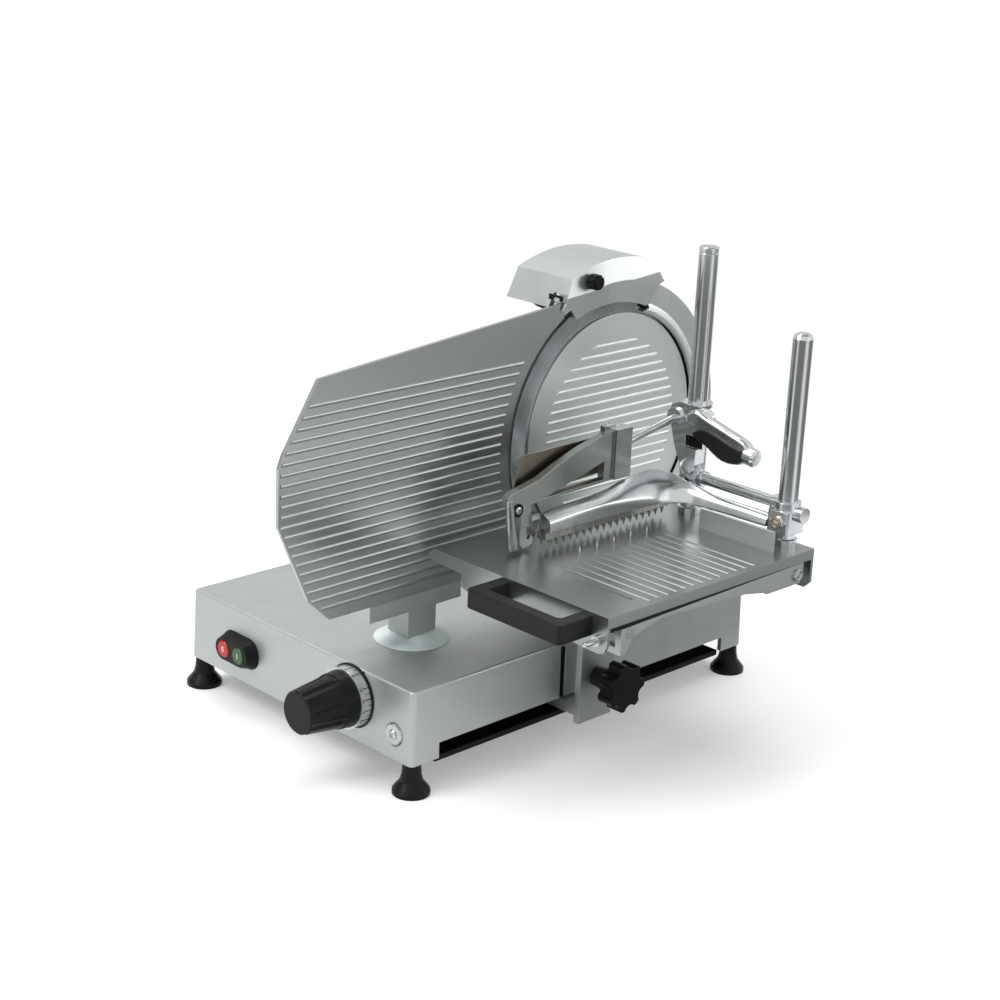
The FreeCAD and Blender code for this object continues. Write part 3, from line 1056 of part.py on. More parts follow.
def press_arm():
    """Polished arm that sweeps from the outer boss forward over the toothed bar."""
    # Each row is one upright section across the arm: the outer and the inner side in plan,
    # then the heights of the underside, inner crest, shoulder and outer top.
    rows = [
        (0, -242, 18, -242, 266.4, 279, 284, 289),
        (0, -215, 18, -215, 266.4, 280.5, 286, 291),
        (0, -185, 18, -185, 266.4, 282, 287.5, 292.5),
        (0, -155, 18.5, -155, 266.4, 282.5, 288.5, 294),
        (-1, -125, 19, -126, 266.4, 281, 288.5, 297),
        (-3, -98, 19.8, -101, 266.5, 278.5, 288.5, 301.5),
        (-6, -70, 21.5, -80, 266.6, 275.5, 289, 307),
        (-5, -42, 25.5, -60, 266.8, 272.5, 288.5, 309),
        (8, -24, 34, -44, 267, 270.5, 286.5, 303),
        (31, -19.3, 46, -33.5, 267.2, 270, 284, 294),
        (58, -15.2, 65, -29, 267, 270, 281, 288.5),
        (84, -12, 87, -25.5, 266.8, 269.8, 279.5, 284.5),
        (154.5, -4.5, 154.5, -18, 265.4, 268, 276.5, 281.5),
    ]
    drop = -size("shaft_height")
    wires = []
    for outer_x, outer_y, inner_x, inner_y, low, crest, shoulder, top in rows:
        step_x = inner_x + 0.25 * (outer_x - inner_x)
        step_y = inner_y + 0.25 * (outer_y - inner_y)
        points = [FreeCAD.Vector(outer_x, outer_y, low + drop), FreeCAD.Vector(inner_x, inner_y, low + drop),
                  FreeCAD.Vector(inner_x, inner_y, crest + drop), FreeCAD.Vector(step_x, step_y, shoulder + drop),
                  FreeCAD.Vector(outer_x, outer_y, top + drop)]
        wires.append(Part.makePolygon(points + [points[0]]))
    bend = Part.makeLoft(wires[:-1], True, False)
    tail = Part.makeLoft(wires[-2:], True, True)
    arm = shaped("Arm", bend.fuse(tail))
    seat(arm, TOOTH_X, POST_Y, "shaft_height")
    sleeve_room = rod("z", INNER_X, POST_Y, "shaft_height - 40", "post_radius + 4.5", "60")
    boss_room = box(f"{OUTER_X} - 17", f"{OUTER_X} + 17", f"{POST_Y} - 30", f"{POST_Y} + 16", "shaft_height - 40",
                    "shaft_height + 20")
    part("press_arm", cut(arm, sleeve_room, boss_room))


def toothed_bar():
    """Bar under the arm with two rows of teeth."""
    bar = box(f"{TOOTH_X} + 2", f"{TOOTH_X} + 16", TOOTH_Y, f"{TOOTH_Y} + tooth_bar_length", "tooth_bar_low",
              "tooth_bar_low + 8.3")
    teeth = []
    for row, shift in ((3.5, 0), (12.5, 5.5)):
        for i in range(18):
            teeth.append(cone("z", f"{TOOTH_X} + 1 + {row}", f"{TOOTH_Y} + 5 + {shift} + ({i} * 11.5)",
                              "tooth_bar_low - tooth_length", "0.5", "2.6", "tooth_length + 0.2"))
    part("toothed_bar", fuse(bar, *teeth))


def guard():
    """Hand guard: cast web with a window, end box, lug, chrome bar, dark plate and rod."""
    x = GUARD_X
    y = GUARD_Y
    z = GUARD_Z
    web = prism("YZ_Plane", [
        (f"{y} - 24", f"{z} - 40.5"), (f"{y} - 24", f"{z} + 21"), (f"{y} - 39", f"{z} + 18.5"),
        (f"{y} - 84.5", f"{z} + 7"), (f"{y} - 117", f"{z} - 4"), (f"{y} - 149", f"{z} - 17"),
        (f"{y} - 194", f"{z} - 26.5"), (f"{y} - 199", f"{z} - 31"), (f"{y} - 199", f"{z} - 42"),
        (f"{y} - 186", f"{z} - 42"), (f"{y} - 177", f"{z} - 58"), (f"{y} - 178", f"{z} - 90"),
        (f"{y} - 172", f"{z} - 96.5"),
        (f"{y} - 158", f"{z} - 94"), (f"{y} - 152", f"{z} - 82"), (f"{y} - 158", f"{z} - 72"),
        (f"{y} - 162", f"{z} - 44.5")], f"{x} - 7", "10")
    # A hollow behind the strut leaves a thinner web above and an open window below.
    window = prism("YZ_Plane", [(f"{y} - 140", f"{z} - 41"), (f"{y} - 40", f"{z} - 15"), (f"{y} - 40", f"{z} - 38")],
                   f"{x} - 8", "12")
    block = box(f"{x} - 9", f"{x} + 7", f"{y} - 25", f"{y} + 2", f"{z} - 40.5", f"{z} + 21.5")
    ear = box(f"{x} - 9", f"{x} - 1", f"{y} - 38", f"{y} - 20", f"{z} + 10", f"{z} + 26")
    bar = spun("z", [("-6.8", "0 * gap"), ("-6", "3.4"), ("-3.6", "6"), ("0 * gap", "7.2"), ("6", "7.4"),
                     ("52", "4.6"), ("58", "4.4"), ("58", "0 * gap")], f"{x} + 2", f"{y} - 188", f"{z} - 91", tilt=8.3)
    solid = fuse(cut(web, window), block, ear, bar)
    lug_hole = rod("x", f"{x} - 12", f"{y} - 163.5", f"{z} - 83.5", "3", "20")
    pivot_bore = rod("y", x, f"{y} - 20", z, "guard_pivot + fit", "24")
    part("guard_casting", cut(solid, lug_hole, pivot_bore))
    plate = prism("YZ_Plane", [(f"{y} - 174", f"{z} - 30"), (f"{y} - 163.5", f"{z} + 7"), (f"{y} - 157", f"{z} + 9.5"),
                               (f"{y} - 47", f"{z} + 10"), (f"{y} - 30", f"{z} + 2"), (f"{y} - 30", f"{z} - 36"),
                               (f"{y} - 150", f"{z} - 42")], f"{x} - 17", "2")
    studs = [rod("x", f"{x} - 16", f"{y} - {dy}", f"{z} - {dz}", "3", "9") for dy, dz in ((147, 26), (60, 6))]
    part("guard_plate", fuse(plate, *studs))
    whole = shaped("GuardRod", Part.makeCylinder(size("guard_rod"), 98, GUARD_LINE * -0.1, GUARD_LINE))
    seat(whole, GUARD_X, GUARD_Y, GUARD_Z)
    clear = box(f"{x} - 30", f"{x} + 30", f"{y} - 30", f"{y} + 2 + gap", f"{z} - 30", f"{z} + 30")
    part("guard_rod", fuse(cut(whole, clear), rod("y", x, f"{y} - 18", z, "guard_pivot", "26")))


def smooth_face(points, depth):
    """Face inside a smooth closed curve in a plane of constant Y."""
    curve = Part.BSplineCurve()
    curve.interpolate([FreeCAD.Vector(x, depth, z) for x, z in points], PeriodicFlag=True)
    return Part.Face(Part.Wire([curve.toShape()]))


def lever():
    """Fat clamp lever with a black inset grip and a chrome end cap, sloping down to the right."""
    outline = [(-12, 0), (-2, 11), (18, 7), (40, 1), (66, -6), (84, -14), (88, -26), (78, -37), (58, -42),
               (36, -38), (16, -24), (-4, -11)]
    body = smooth_face(outline, 0).extrude(FreeCAD.Vector(0, 15, 0))
    body = body.makeFillet(4.5, body.Edges)
    along = FreeCAD.Vector(1, 0, -0.12)
    cap = Part.makeCylinder(11, 12, FreeCAD.Vector(80, 7.5, -26), along)
    nose = Part.makeCone(11, 8, 3, FreeCAD.Vector(80, 7.5, -26) + along.normalize() * 12, along)
    metal = body.fuse([cap, nose])
    inset = [(6, -13), (22, -8), (44, -12), (66, -18), (79, -24), (80, -32), (68, -38), (48, -37), (26, -27)]
    grip = smooth_face(inset, -4).extrude(FreeCAD.Vector(0, 5.5, 0))
    grip = grip.makeFillet(1.5, [edge for edge in grip.Edges if edge.BoundBox.YMax < -3.9])
    pin = Part.makeCylinder(size("lever_pivot"), 17, FreeCAD.Vector(1, 9, -2), FreeCAD.Vector(0, 1, 0))
    metal = metal.cut(smooth_face(inset, -4).extrude(FreeCAD.Vector(0, 5.5, 0))).fuse(pin)
    for label, shape in (("lever_arm", metal), ("lever_grip", grip)):
        piece = shaped(label + "_shape", shape)
        seat(piece, f"{INNER_X} + 22", f"{POST_Y} - 18.5 - gap - 15", "shaft_height + 82")
        part(label, piece)


base_housing()
base_pan()
feet()
switch()
corner_plug()
side_strip()
cable_gland()
guide_bar()
carriage_block()
carriage_frame()
star_knob()
meat_table()
table_handle()
table_fittings()
posts()
blade_unit()
blade_head()
blade_cover()
ring_guard()
gauge_plate()
gauge_bracket()
thickness_knob()
motor_unit()
drive_belt()
sharpener()
press()
press_arm()
toothed_bar()
guard()
lever()

doc.recompute()
for thing in doc.Objects:
    if "Invalid" in thing.State or "Error" in thing.State:
        raise SystemExit(f"{thing.Name} {thing.Label} failed: {thing.State}")
for thing in PARTS:
    if thing.Shape.isNull() or not thing.Shape.isValid() or not thing.Shape.Solids:
        raise SystemExit(f"{thing.Label} has no valid solid")
os.makedirs("parts", exist_ok=True)
for thing in PARTS:
    thing.Shape.exportStep(f"parts/{thing.Label}.step")
print(len(PARTS), "parts written")
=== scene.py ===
import math

import bmesh
import bpy
from mathutils import Matrix, Vector


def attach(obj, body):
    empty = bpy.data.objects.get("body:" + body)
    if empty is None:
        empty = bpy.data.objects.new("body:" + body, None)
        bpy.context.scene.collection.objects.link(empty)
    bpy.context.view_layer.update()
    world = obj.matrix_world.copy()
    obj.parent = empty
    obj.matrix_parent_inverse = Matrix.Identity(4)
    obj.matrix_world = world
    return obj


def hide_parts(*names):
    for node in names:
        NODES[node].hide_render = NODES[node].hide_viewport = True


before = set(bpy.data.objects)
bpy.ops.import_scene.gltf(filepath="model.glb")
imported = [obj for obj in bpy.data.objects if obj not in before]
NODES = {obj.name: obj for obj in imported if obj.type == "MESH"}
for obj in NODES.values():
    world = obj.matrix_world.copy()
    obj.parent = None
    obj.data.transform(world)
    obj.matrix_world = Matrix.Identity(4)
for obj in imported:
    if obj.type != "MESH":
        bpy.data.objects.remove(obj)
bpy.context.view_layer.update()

MM = 0.001
ALONG_X, ALONG_Y, UP = (1, 0, 0), (0, 1, 0), (0, 0, 1)
TO_FRONT = (0, -1, 0)

# ---------------------------------------------------------------- camera

# Solved from the straight edges, feet, posts and arcs that the photograph shows.
CAMERA_PLACE = Vector((1.6611, -1.6268, 1.0120))
CAMERA_AZIMUTH = math.radians(44.94)
CAMERA_DROP = math.radians(18.37)
CAMERA_ROLL = math.radians(2.58)
FRAME_PIXELS = 1000.0
FOCAL_PIXELS = 1959.71
SENSOR = 36.0
FAR_CLIP = 50.0


def add_camera():
    """The photograph's camera, with its small roll."""
    forward = Vector((-math.sin(CAMERA_AZIMUTH) * math.cos(CAMERA_DROP),
                      math.cos(CAMERA_AZIMUTH) * math.cos(CAMERA_DROP), -math.sin(CAMERA_DROP)))
    level = forward.cross(Vector(UP)).normalized()
    rise = level.cross(forward)
    right = math.cos(CAMERA_ROLL) * level + math.sin(CAMERA_ROLL) * rise
    up = -math.sin(CAMERA_ROLL) * level + math.cos(CAMERA_ROLL) * rise
    data = bpy.data.cameras.new("camera")
    data.sensor_width = SENSOR
    data.lens = SENSOR * FOCAL_PIXELS / FRAME_PIXELS
    data.clip_end = FAR_CLIP
    camera = bpy.data.objects.new("camera", data)
    bpy.context.scene.collection.objects.link(camera)
    p = CAMERA_PLACE
    camera.matrix_world = Matrix(((right.x, up.x, -forward.x, p.x), (right.y, up.y, -forward.y, p.y),
                                  (right.z, up.z, -forward.z, p.z), (0, 0, 0, 1)))
    bpy.context.scene.camera = camera


add_camera()

# ---------------------------------------------------------------- materials

BEVEL_SAMPLES = 4
# How far the rounded and the flat normal agree, as a dot product, on a fully worn edge and off the edge.
EDGE_FULL, EDGE_NONE = 0.80, 0.995
BRUSH_SHARE = 0.6
EDGE_RUB = 0.6
PLASTIC_SMEAR = 0.07


class Graph:
    """A material's node tree, with short names for the few moves used below."""

    def __init__(self, name):
        self.material = bpy.data.materials.new(name)
        self.material.use_nodes = True
        self.tree = self.material.node_tree
        self.shader = self.tree.nodes["Principled BSDF"]
        self.place = self.add("ShaderNodeTexCoord").outputs["Object"]

    def add(self, kind, settings=None, **sockets):
        node = self.tree.nodes.new(kind)
        for key, value in (settings or {}).items():
            setattr(node, key, value)
        for key, value in sockets.items():
            self.put(node, key.replace("_", " "), value)
        return node

    def put(self, node, socket, value):
        """Links an output to a socket, or sets the socket to a plain value."""
        target = node.inputs[int(socket)] if socket.strip().isdigit() else node.inputs[socket]
        if isinstance(value, bpy.types.NodeSocket):
            self.tree.links.new(value, target)
        else:
            target.default_value = value

    def noise(self, scale, stretch=(1, 1, 1), detail=3.0, rough=0.55):
        moved = self.add("ShaderNodeMapping", Vector=self.place, Scale=stretch)
        return self.add("ShaderNodeTexNoise", Vector=moved.outputs[0], Scale=scale, Detail=detail,
                        Roughness=rough).outputs["Fac"]

    def spread(self, value, low, high, start=0.3, end=0.7):
        """The stretch from start to end, which holds most of a noise, spread over low to high."""
        return self.add("ShaderNodeMapRange", {"clamp": True},
                        Value=value, From_Min=start, From_Max=end, To_Min=low, To_Max=high).outputs["Result"]

    def join(self, first, second, how="ADD"):
        node = self.add("ShaderNodeMath", {"operation": how})
        self.put(node, "0", first)
        self.put(node, "1", second)
        return node.outputs[0]

    def blend(self, factor, first, second):
        node = self.add("ShaderNodeMix", {"data_type": "RGBA"})
        self.put(node, "0", factor)
        self.put(node, "6", first)
        self.put(node, "7", second)
        return node.outputs[2]

    def edges(self, radius):
        """Rounded normals, and how far each point lies on an outer or inner edge."""
        soft = self.add("ShaderNodeBevel", {"samples": BEVEL_SAMPLES}, Radius=radius).outputs["Normal"]
        flat = self.add("ShaderNodeNewGeometry").outputs["Normal"]
        dot = self.add("ShaderNodeVectorMath", {"operation": "DOT_PRODUCT"})
        self.put(dot, "0", soft)
        self.put(dot, "1", flat)
        return soft, self.spread(dot.outputs["Value"], 1.0, 0.0, EDGE_FULL, EDGE_NONE)

    def bump(self, height, depth, normal):
        return self.add("ShaderNodeBump", Strength=1.0, Distance=depth, Height=height, Normal=normal).outputs[0]

    def set(self, socket, value):
        self.put(self.shader, socket, value)


def shade(colour, factor):
    """A colour made lighter or darker, with its alpha added."""
    return tuple(min(1.0, c * factor) for c in colour) + (1.0,)


def metal(name, colour, metallic=0.9, rough=0.38, grain=900.0, grain_depth=0.00002, brush=None, brush_scale=60.0,
          brush_depth=0.000015, smear=0.05, tone=0.06, edge=0.0006, edge_light=1.25):
    """Cast, brushed or polished metal: grain, brushing, smears and lighter worn edges."""
    g = Graph(name)
    soft, worn = g.edges(edge)
    fine = g.noise(grain, detail=2.0)
    cloud = g.noise(9.0, detail=4.0)
    smudge = g.noise(26.0, detail=5.0, rough=0.65)
    level = g.spread(cloud, 0.0, 1.0)
    if brush:
        streak = g.noise(brush_scale, stretch=brush, detail=4.0, rough=0.7)
        level = g.join(g.join(level, 1 - BRUSH_SHARE, "MULTIPLY"),
                       g.join(g.spread(streak, 0.0, 1.0), BRUSH_SHARE, "MULTIPLY"))
    base = g.blend(level, shade(colour, 1 - tone), shade(colour, 1 + tone))
    base = g.blend(worn, base, shade(colour, edge_light))
    g.set("Base Color", base)
    g.set("Metallic", metallic)
    rough_level = g.spread(smudge, rough - smear, rough + smear)
    if brush:
        rough_level = g.join(rough_level, g.spread(streak, -smear, smear))
    g.set("Roughness", rough_level)
    normal = g.bump(fine, grain_depth, soft)
    if brush:
        normal = g.bump(streak, brush_depth, normal)
    g.set("Normal", normal)
    return g.material


def plastic(name, colour, rough=0.42, grain=1400.0, grain_depth=0.00003, edge=0.0006, edge_light=2.2, coat=0.0,
            specular=0.5):
    """Moulded plastic or rubber with a fine spark-eroded grain and rubbed edges."""
    g = Graph(name)
    soft, worn = g.edges(edge)
    fine = g.noise(grain, detail=2.0)
    smudge = g.noise(30.0, detail=5.0, rough=0.65)
    base = g.blend(g.spread(smudge, 0.0, 1.0), shade(colour, 0.85), shade(colour, 1.2))
    base = g.blend(g.join(worn, EDGE_RUB, "MULTIPLY"), base, shade(colour, edge_light))
    g.set("Base Color", base)
    g.set("Roughness", g.spread(smudge, rough - PLASTIC_SMEAR, rough + PLASTIC_SMEAR))
    g.set("Specular IOR Level", specular)
    g.set("Coat Weight", coat)
    g.set("Normal", g.bump(fine, grain_depth, soft))
    return g.material


def dress(material, *names):
    """Gives CAD nodes one material in all their slots."""
    for name in names:
        obj = NODES[name]
        if not obj.material_slots:
            obj.data.materials.append(material)
        for slot in obj.material_slots:
            slot.material = material


housing = metal("satin_housing", (0.47, 0.495, 0.485), metallic=0.72, rough=0.42, grain=1100.0, grain_depth=0.00004,
                brush=(1, 1, 5), brush_scale=90.0, smear=0.04, tone=0.05)
frame_metal = metal("brushed_frame", (0.46, 0.49, 0.48), metallic=0.8, rough=0.38, brush=(1, 12, 1), smear=0.04)
# Wide flat faces mirror the room, so they get only a trace of smear and bump; more would show as mottling.
table_metal = metal("brushed_table", (0.33, 0.352, 0.344), metallic=0.95, rough=0.28, grain_depth=0.000002,
                    brush=(1, 14, 1), brush_scale=30.0, brush_depth=0.0000004, smear=0.004, tone=0.025, edge=0.0003)
plate_metal = metal("satin_gauge_plate", (0.46, 0.483, 0.475), metallic=0.95, rough=0.28, grain_depth=0.000002,
                    brush=(1, 1, 14), brush_scale=30.0, brush_depth=0.0000004, smear=0.004, tone=0.025, edge=0.0003)
cover_metal = metal("satin_cover", (0.72, 0.76, 0.74), metallic=0.85, rough=0.34, grain_depth=0.000003,
                    brush=(1, 1, 10), brush_scale=40.0, brush_depth=0.0000004, smear=0.008, tone=0.02, edge=0.0003)
ring_metal = metal("satin_ring", (0.56, 0.59, 0.575), metallic=0.85, rough=0.34, brush=(1, 3, 3), smear=0.03)
hood_metal = metal("satin_hood", (0.52, 0.55, 0.54), metallic=0.8, rough=0.30, grain=1000.0, smear=0.03)
blade_metal = metal("ground_blade", (0.42, 0.445, 0.45), metallic=1.0, rough=0.16, brush=(1, 8, 8), smear=0.05,
                    brush_depth=0.000004, tone=0.12, edge=0.0003)
chrome = metal("chrome", (0.60, 0.62, 0.63), metallic=1.0, rough=0.13, grain=300.0, grain_depth=0.000002,
               smear=0.02, tone=0.03, edge_light=1.15)
steel = metal("turned_steel", (0.50, 0.51, 0.51), metallic=1.0, rough=0.25, brush=(1, 10, 10), smear=0.06)
polished = metal("polished_casting", (0.66, 0.68, 0.69), metallic=1.0, rough=0.12, grain=260.0,
                 grain_depth=0.00001, smear=0.04, tone=0.06, edge=0.001)
arm_metal = metal("polished_arm", (0.56, 0.58, 0.585), metallic=1.0, rough=0.20, grain=260.0, grain_depth=0.000004,
                  smear=0.03, tone=0.05, edge=0.001)
guard_metal = metal("dull_casting", (0.40, 0.415, 0.40), metallic=1.0, rough=0.22, grain=320.0,
                    grain_depth=0.00003, smear=0.06, tone=0.08, edge=0.001, edge_light=1.6)
bar_metal = metal("toothed_steel", (0.36, 0.345, 0.32), metallic=1.0, rough=0.25, brush=(1, 12, 1), smear=0.06,
                  edge_light=1.5)
dark_metal = metal("dark_sheet", (0.24, 0.22, 0.185), metallic=1.0, rough=0.32, brush=(1, 10, 1), smear=0.04,
                   edge_light=2.0)
bronze = metal("bronze", (0.48, 0.34, 0.17), metallic=1.0, rough=0.35, smear=0.05)
black_plastic = plastic("black_plastic", (0.010, 0.010, 0.010), rough=0.30, specular=0.13)
black_handle = plastic("black_handle", (0.014, 0.015, 0.014), rough=0.40, specular=0.18)
black_rubber = plastic("black_rubber", (0.008, 0.009, 0.008), rough=0.34, grain=800.0, grain_depth=0.00003,
                       specular=0.14)
black_paint = plastic("black_paint", (0.005, 0.005, 0.005), rough=0.5, specular=0.12)
ink = plastic("dial_ink", (0.008, 0.008, 0.008), rough=0.5, grain=2000.0, grain_depth=0.00001, edge=0.0001,
              specular=0.1)
pale_ink = plastic("button_ink", (0.70, 0.70, 0.68), rough=0.5, grain=2000.0, grain_depth=0.00001, edge=0.0001,
                   edge_light=1.0)
red_plastic = plastic("red_plastic", (0.50, 0.012, 0.012), rough=0.28, edge_light=1.2, coat=0.2, specular=0.35)
green_plastic = plastic("green_plastic", (0.035, 0.095, 0.03), rough=0.28, edge_light=1.3, coat=0.2, specular=0.35)
white_plastic = plastic("white_seal", (0.66, 0.74, 0.73), rough=0.35, edge_light=1.1)
stone = plastic("grinding_stone", (0.30, 0.29, 0.27), rough=0.8, grain=1600.0, grain_depth=0.0002, edge_light=1.1)
dial_metal = metal("dial_silver", (0.56, 0.58, 0.57), metallic=0.9, rough=0.30, brush=(1, 12, 1), smear=0.04)

dress(housing, "base_housing", "gauge_bracket", "table_fence", "blade_head", "sharpener_base", "belt_cover",
      "motor", "guide_bar_supports", "carriage_block", "gauge_slider", "table_runners")
dress(frame_metal, "carriage_frame")
dress(table_metal, "meat_table")
dress(plate_metal, "gauge_plate")
dress(cover_metal, "blade_cover")
dress(ring_metal, "ring_guard")
dress(hood_metal, "sharpener_cover")
dress(blade_metal, "blade")
dress(chrome, "inner_post", "outer_post", "cross_shaft", "guard_rod", "lever_arm")
dress(steel, "guide_bar", "feed_rods", "table_spikes", "gauge_screws", "corner_plug", "flange_screw",
      "blade_shaft", "cover_tie_rod", "gauge_guide_rods", "knob_spindle", "motor_shaft", "blade_pulley",
      "shaft_bearings")
dress(polished, "outer_boss", "post_clamp")
dress(guard_metal, "guard_casting")
dress(bar_metal, "toothed_bar")
dress(dark_metal, "guard_plate")
dress(bronze, "carriage_bushes")
dress(black_plastic, "switch_housing", "thickness_knob", "star_knob", "sharpener_knob", "cable_gland")
dress(black_handle, "table_handle", "lever_grip")
dress(black_rubber, "feet", "drive_belt")
dress(black_paint, "base_pan", "side_strip")
dress(red_plastic, "stop_button")
dress(green_plastic, "start_button")
dress(white_plastic, "gauge_seal")
dress(stone, "grinding_stone", "deburring_stone")
dress(dial_metal, "dial_ring")

# ---------------------------------------------------------------- added pieces

SHARP_ANGLE = math.radians(35)


def add_piece(name, mesh, material, body, smooth=True):
    """Links a mesh, made in millimetres, as a piece that rides on a body."""
    mesh.transform(Matrix.Scale(MM, 4))
    obj = bpy.data.objects.new(name, mesh)
    bpy.context.scene.collection.objects.link(obj)
    mesh.materials.clear()
    mesh.materials.append(material)
    for face in mesh.polygons:
        face.use_smooth = smooth
    if smooth:
        mesh.set_sharp_from_angle(angle=SHARP_ANGLE)
    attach(obj, body)
    return obj


def turned(profile, centre, axis, sides=48):
    """A mesh spun about an axis; each profile point is a distance along the axis and a radius."""
    axis = Vector(axis).normalized()
    side = axis.orthogonal().normalized()
    other = axis.cross(side)
    bm = bmesh.new()
    rings = []
    for along, radius in profile:
        middle = Vector(centre) + axis * along
        if radius == 0:
            rings.append([bm.verts.new(middle)] * sides)
            continue
        turns = [2 * math.pi * i / sides for i in range(sides)]
        rings.append([bm.verts.new(middle + radius * (math.cos(t) * side + math.sin(t) * other)) for t in turns])
    for low, high in zip(rings, rings[1:]):
        for i in range(sides):
            j = (i + 1) % sides
            corners = []
            for vert in (low[i], low[j], high[j], high[i]):
                if vert not in corners:
                    corners.append(vert)
            bm.faces.new(corners)
    bmesh.ops.recalc_face_normals(bm, faces=bm.faces)
    return finished(bm)


def finished(bm):
    """The mesh that a bmesh holds; the bmesh is freed."""
    mesh = bpy.data.meshes.new("shape")
    bm.to_mesh(mesh)
    bm.free()
    return mesh


def slab(outline, place, across, rise, depth, edge=0.0):
    """An outline in a plane, pushed back by a depth, with its edges rounded."""
    across, rise = Vector(across).normalized(), Vector(rise).normalized()
    back = across.cross(rise) * -depth
    bm = bmesh.new()
    front = [bm.verts.new(Vector(place) + across * u + rise * v) for u, v in outline]
    rear = [bm.verts.new(vert.co + back) for vert in front]
    bm.faces.new(front)
    bm.faces.new(rear[::-1])
    for i, vert in enumerate(front):
        j = (i + 1) % len(front)
        bm.faces.new((vert, rear[i], rear[j], front[j]))
    bmesh.ops.recalc_face_normals(bm, faces=bm.faces)
    if edge:
        bmesh.ops.bevel(bm, geom=list(bm.edges), offset=edge, segments=2, affect="EDGES", profile=0.6)
    return finished(bm)


def oblong(left, low, right, high):
    return [(left, low), (right, low), (right, high), (left, high)]


def front_slab(outline, y, depth, edge):
    """A slab that faces the front, its outline given in x and z."""
    return slab(outline, (0, y, 0), ALONG_X, UP, depth, edge)


def carve(mesh, cutter):
    """The mesh with the cutter's shape taken out of it."""
    body, tool = (bpy.data.objects.new("carve", m) for m in (mesh, cutter))
    for obj in (body, tool):
        bpy.context.scene.collection.objects.link(obj)
    change = body.modifiers.new("cut", "BOOLEAN")
    change.object = tool
    change.operation = "DIFFERENCE"
    change.solver = "EXACT"
    result = bpy.data.meshes.new_from_object(body.evaluated_get(bpy.context.evaluated_depsgraph_get()))
    for obj in (body, tool):
        bpy.data.objects.remove(obj)
    return result


def screw_head(centre, axis, radius, height):
    """A pan head with a cross recess."""
    axis = Vector(axis).normalized()
    across = axis.orthogonal().normalized()
    rise = axis.cross(across)
    head = turned([(-0.4, 0), (-0.4, radius), (0.35 * height, radius), (0.75 * height, 0.86 * radius),
                   (0.95 * height, 0.55 * radius), (height, 0)], centre, axis, 40)
    arm, half = 0.60 * radius, 0.13 * radius
    plus = [(half, half), (half, arm), (-half, arm), (-half, half), (-arm, half), (-arm, -half), (-half, -half),
            (-half, -arm), (half, -arm), (half, -half), (arm, -half), (arm, half)]
    top = Vector(centre) + axis * (height + 1)
    return carve(head, slab(plus, top, across, rise, 1 + 0.6 * height))


def letters(text, size, depth):
    """A mesh of plain characters in the XY plane, centred on its origin."""
    curve = bpy.data.curves.new("characters", "FONT")
    curve.body = text
    curve.size = size
    curve.extrude = depth
    curve.offset = 0.025 * size
    curve.align_x = "CENTER"
    curve.align_y = "CENTER"
    holder = bpy.data.objects.new("characters", curve)
    bpy.context.scene.collection.objects.link(holder)
    mesh = bpy.data.meshes.new_from_object(holder.evaluated_get(bpy.context.evaluated_depsgraph_get()))
    bpy.data.objects.remove(holder)
    return mesh


# The dial's axis and radius, then the y of the ticks' root and tips and of the row of numbers.
DIAL_X, DIAL_Z, DIAL_RADIUS = 101.0, 89.0, 36.5
DIAL_BACK, LONG_TICK, SHORT_TICK, NUMBER_LINE = -290.2, -298.6, -295.6, -301.2
LONG_HALF_WIDTH, SHORT_HALF_WIDTH = 0.5, 0.4
NUMBER_SIZE = 4.6
POINTER_ANGLE = math.radians(64)
THICKEST_SLICE = 16
DEGREES_PER_MM = 330 / THICKEST_SLICE
INK = 0.12
BUTTON_FACE, BUTTON_HEIGHT, BUTTON_INK = -305.2, 76.5, 0.2
STOP_X, START_X, BUTTON_LETTER = -121.3, -92.7, 9.5


def on_dial(angle, y, radius):
    """The point at an angle round the dial."""
    return Vector((DIAL_X + radius * math.cos(angle), y, DIAL_Z + radius * math.sin(angle)))


def dial_marks():
    """A long tick and a number for each millimetre of slice, with a short tick halfway."""
    bm = bmesh.new()
    for step in range(2 * THICKEST_SLICE + 1):
        angle = POINTER_ANGLE + math.radians(DEGREES_PER_MM * step / 2)
        whole = step % 2 == 0
        half = (LONG_HALF_WIDTH if whole else SHORT_HALF_WIDTH) / DIAL_RADIUS
        front = LONG_TICK if whole else SHORT_TICK
        verts = [bm.verts.new(on_dial(angle + turn, y, radius)) for radius in (DIAL_RADIUS - INK, DIAL_RADIUS + INK)
                 for y in (DIAL_BACK, front) for turn in (-half, half)]
        for corners in ((0, 1, 3, 2), (4, 5, 7, 6), (0, 1, 5, 4), (2, 3, 7, 6), (0, 2, 6, 4), (1, 3, 7, 5)):
            bm.faces.new([verts[i] for i in corners])
    for number in range(THICKEST_SLICE + 1):
        angle = POINTER_ANGLE + math.radians(DEGREES_PER_MM * number)
        mesh = letters(str(number), NUMBER_SIZE, INK)
        for vert in mesh.vertices:
            u, v, w = vert.co
            vert.co = on_dial(angle - u / DIAL_RADIUS, NUMBER_LINE + v, DIAL_RADIUS + w)
        bm.from_mesh(mesh)
    bmesh.ops.recalc_face_normals(bm, faces=bm.faces)
    add_piece("dial_marks", finished(bm), ink, "knob", smooth=False)


def button_letter(text, x):
    """A character on a push button's face, towards the front."""
    mesh = letters(text, BUTTON_LETTER, BUTTON_INK)
    for vert in mesh.vertices:
        u, v, w = vert.co
        vert.co = Vector((x, BUTTON_FACE, BUTTON_HEIGHT)) + Vector((u, -w, v))
    return mesh


INNER_POST_X, OUTER_POST_X, POST_Y, POST_RADIUS = 203.4, 351.3, 165.5, 12.05
TABLE_TOP = 245.0

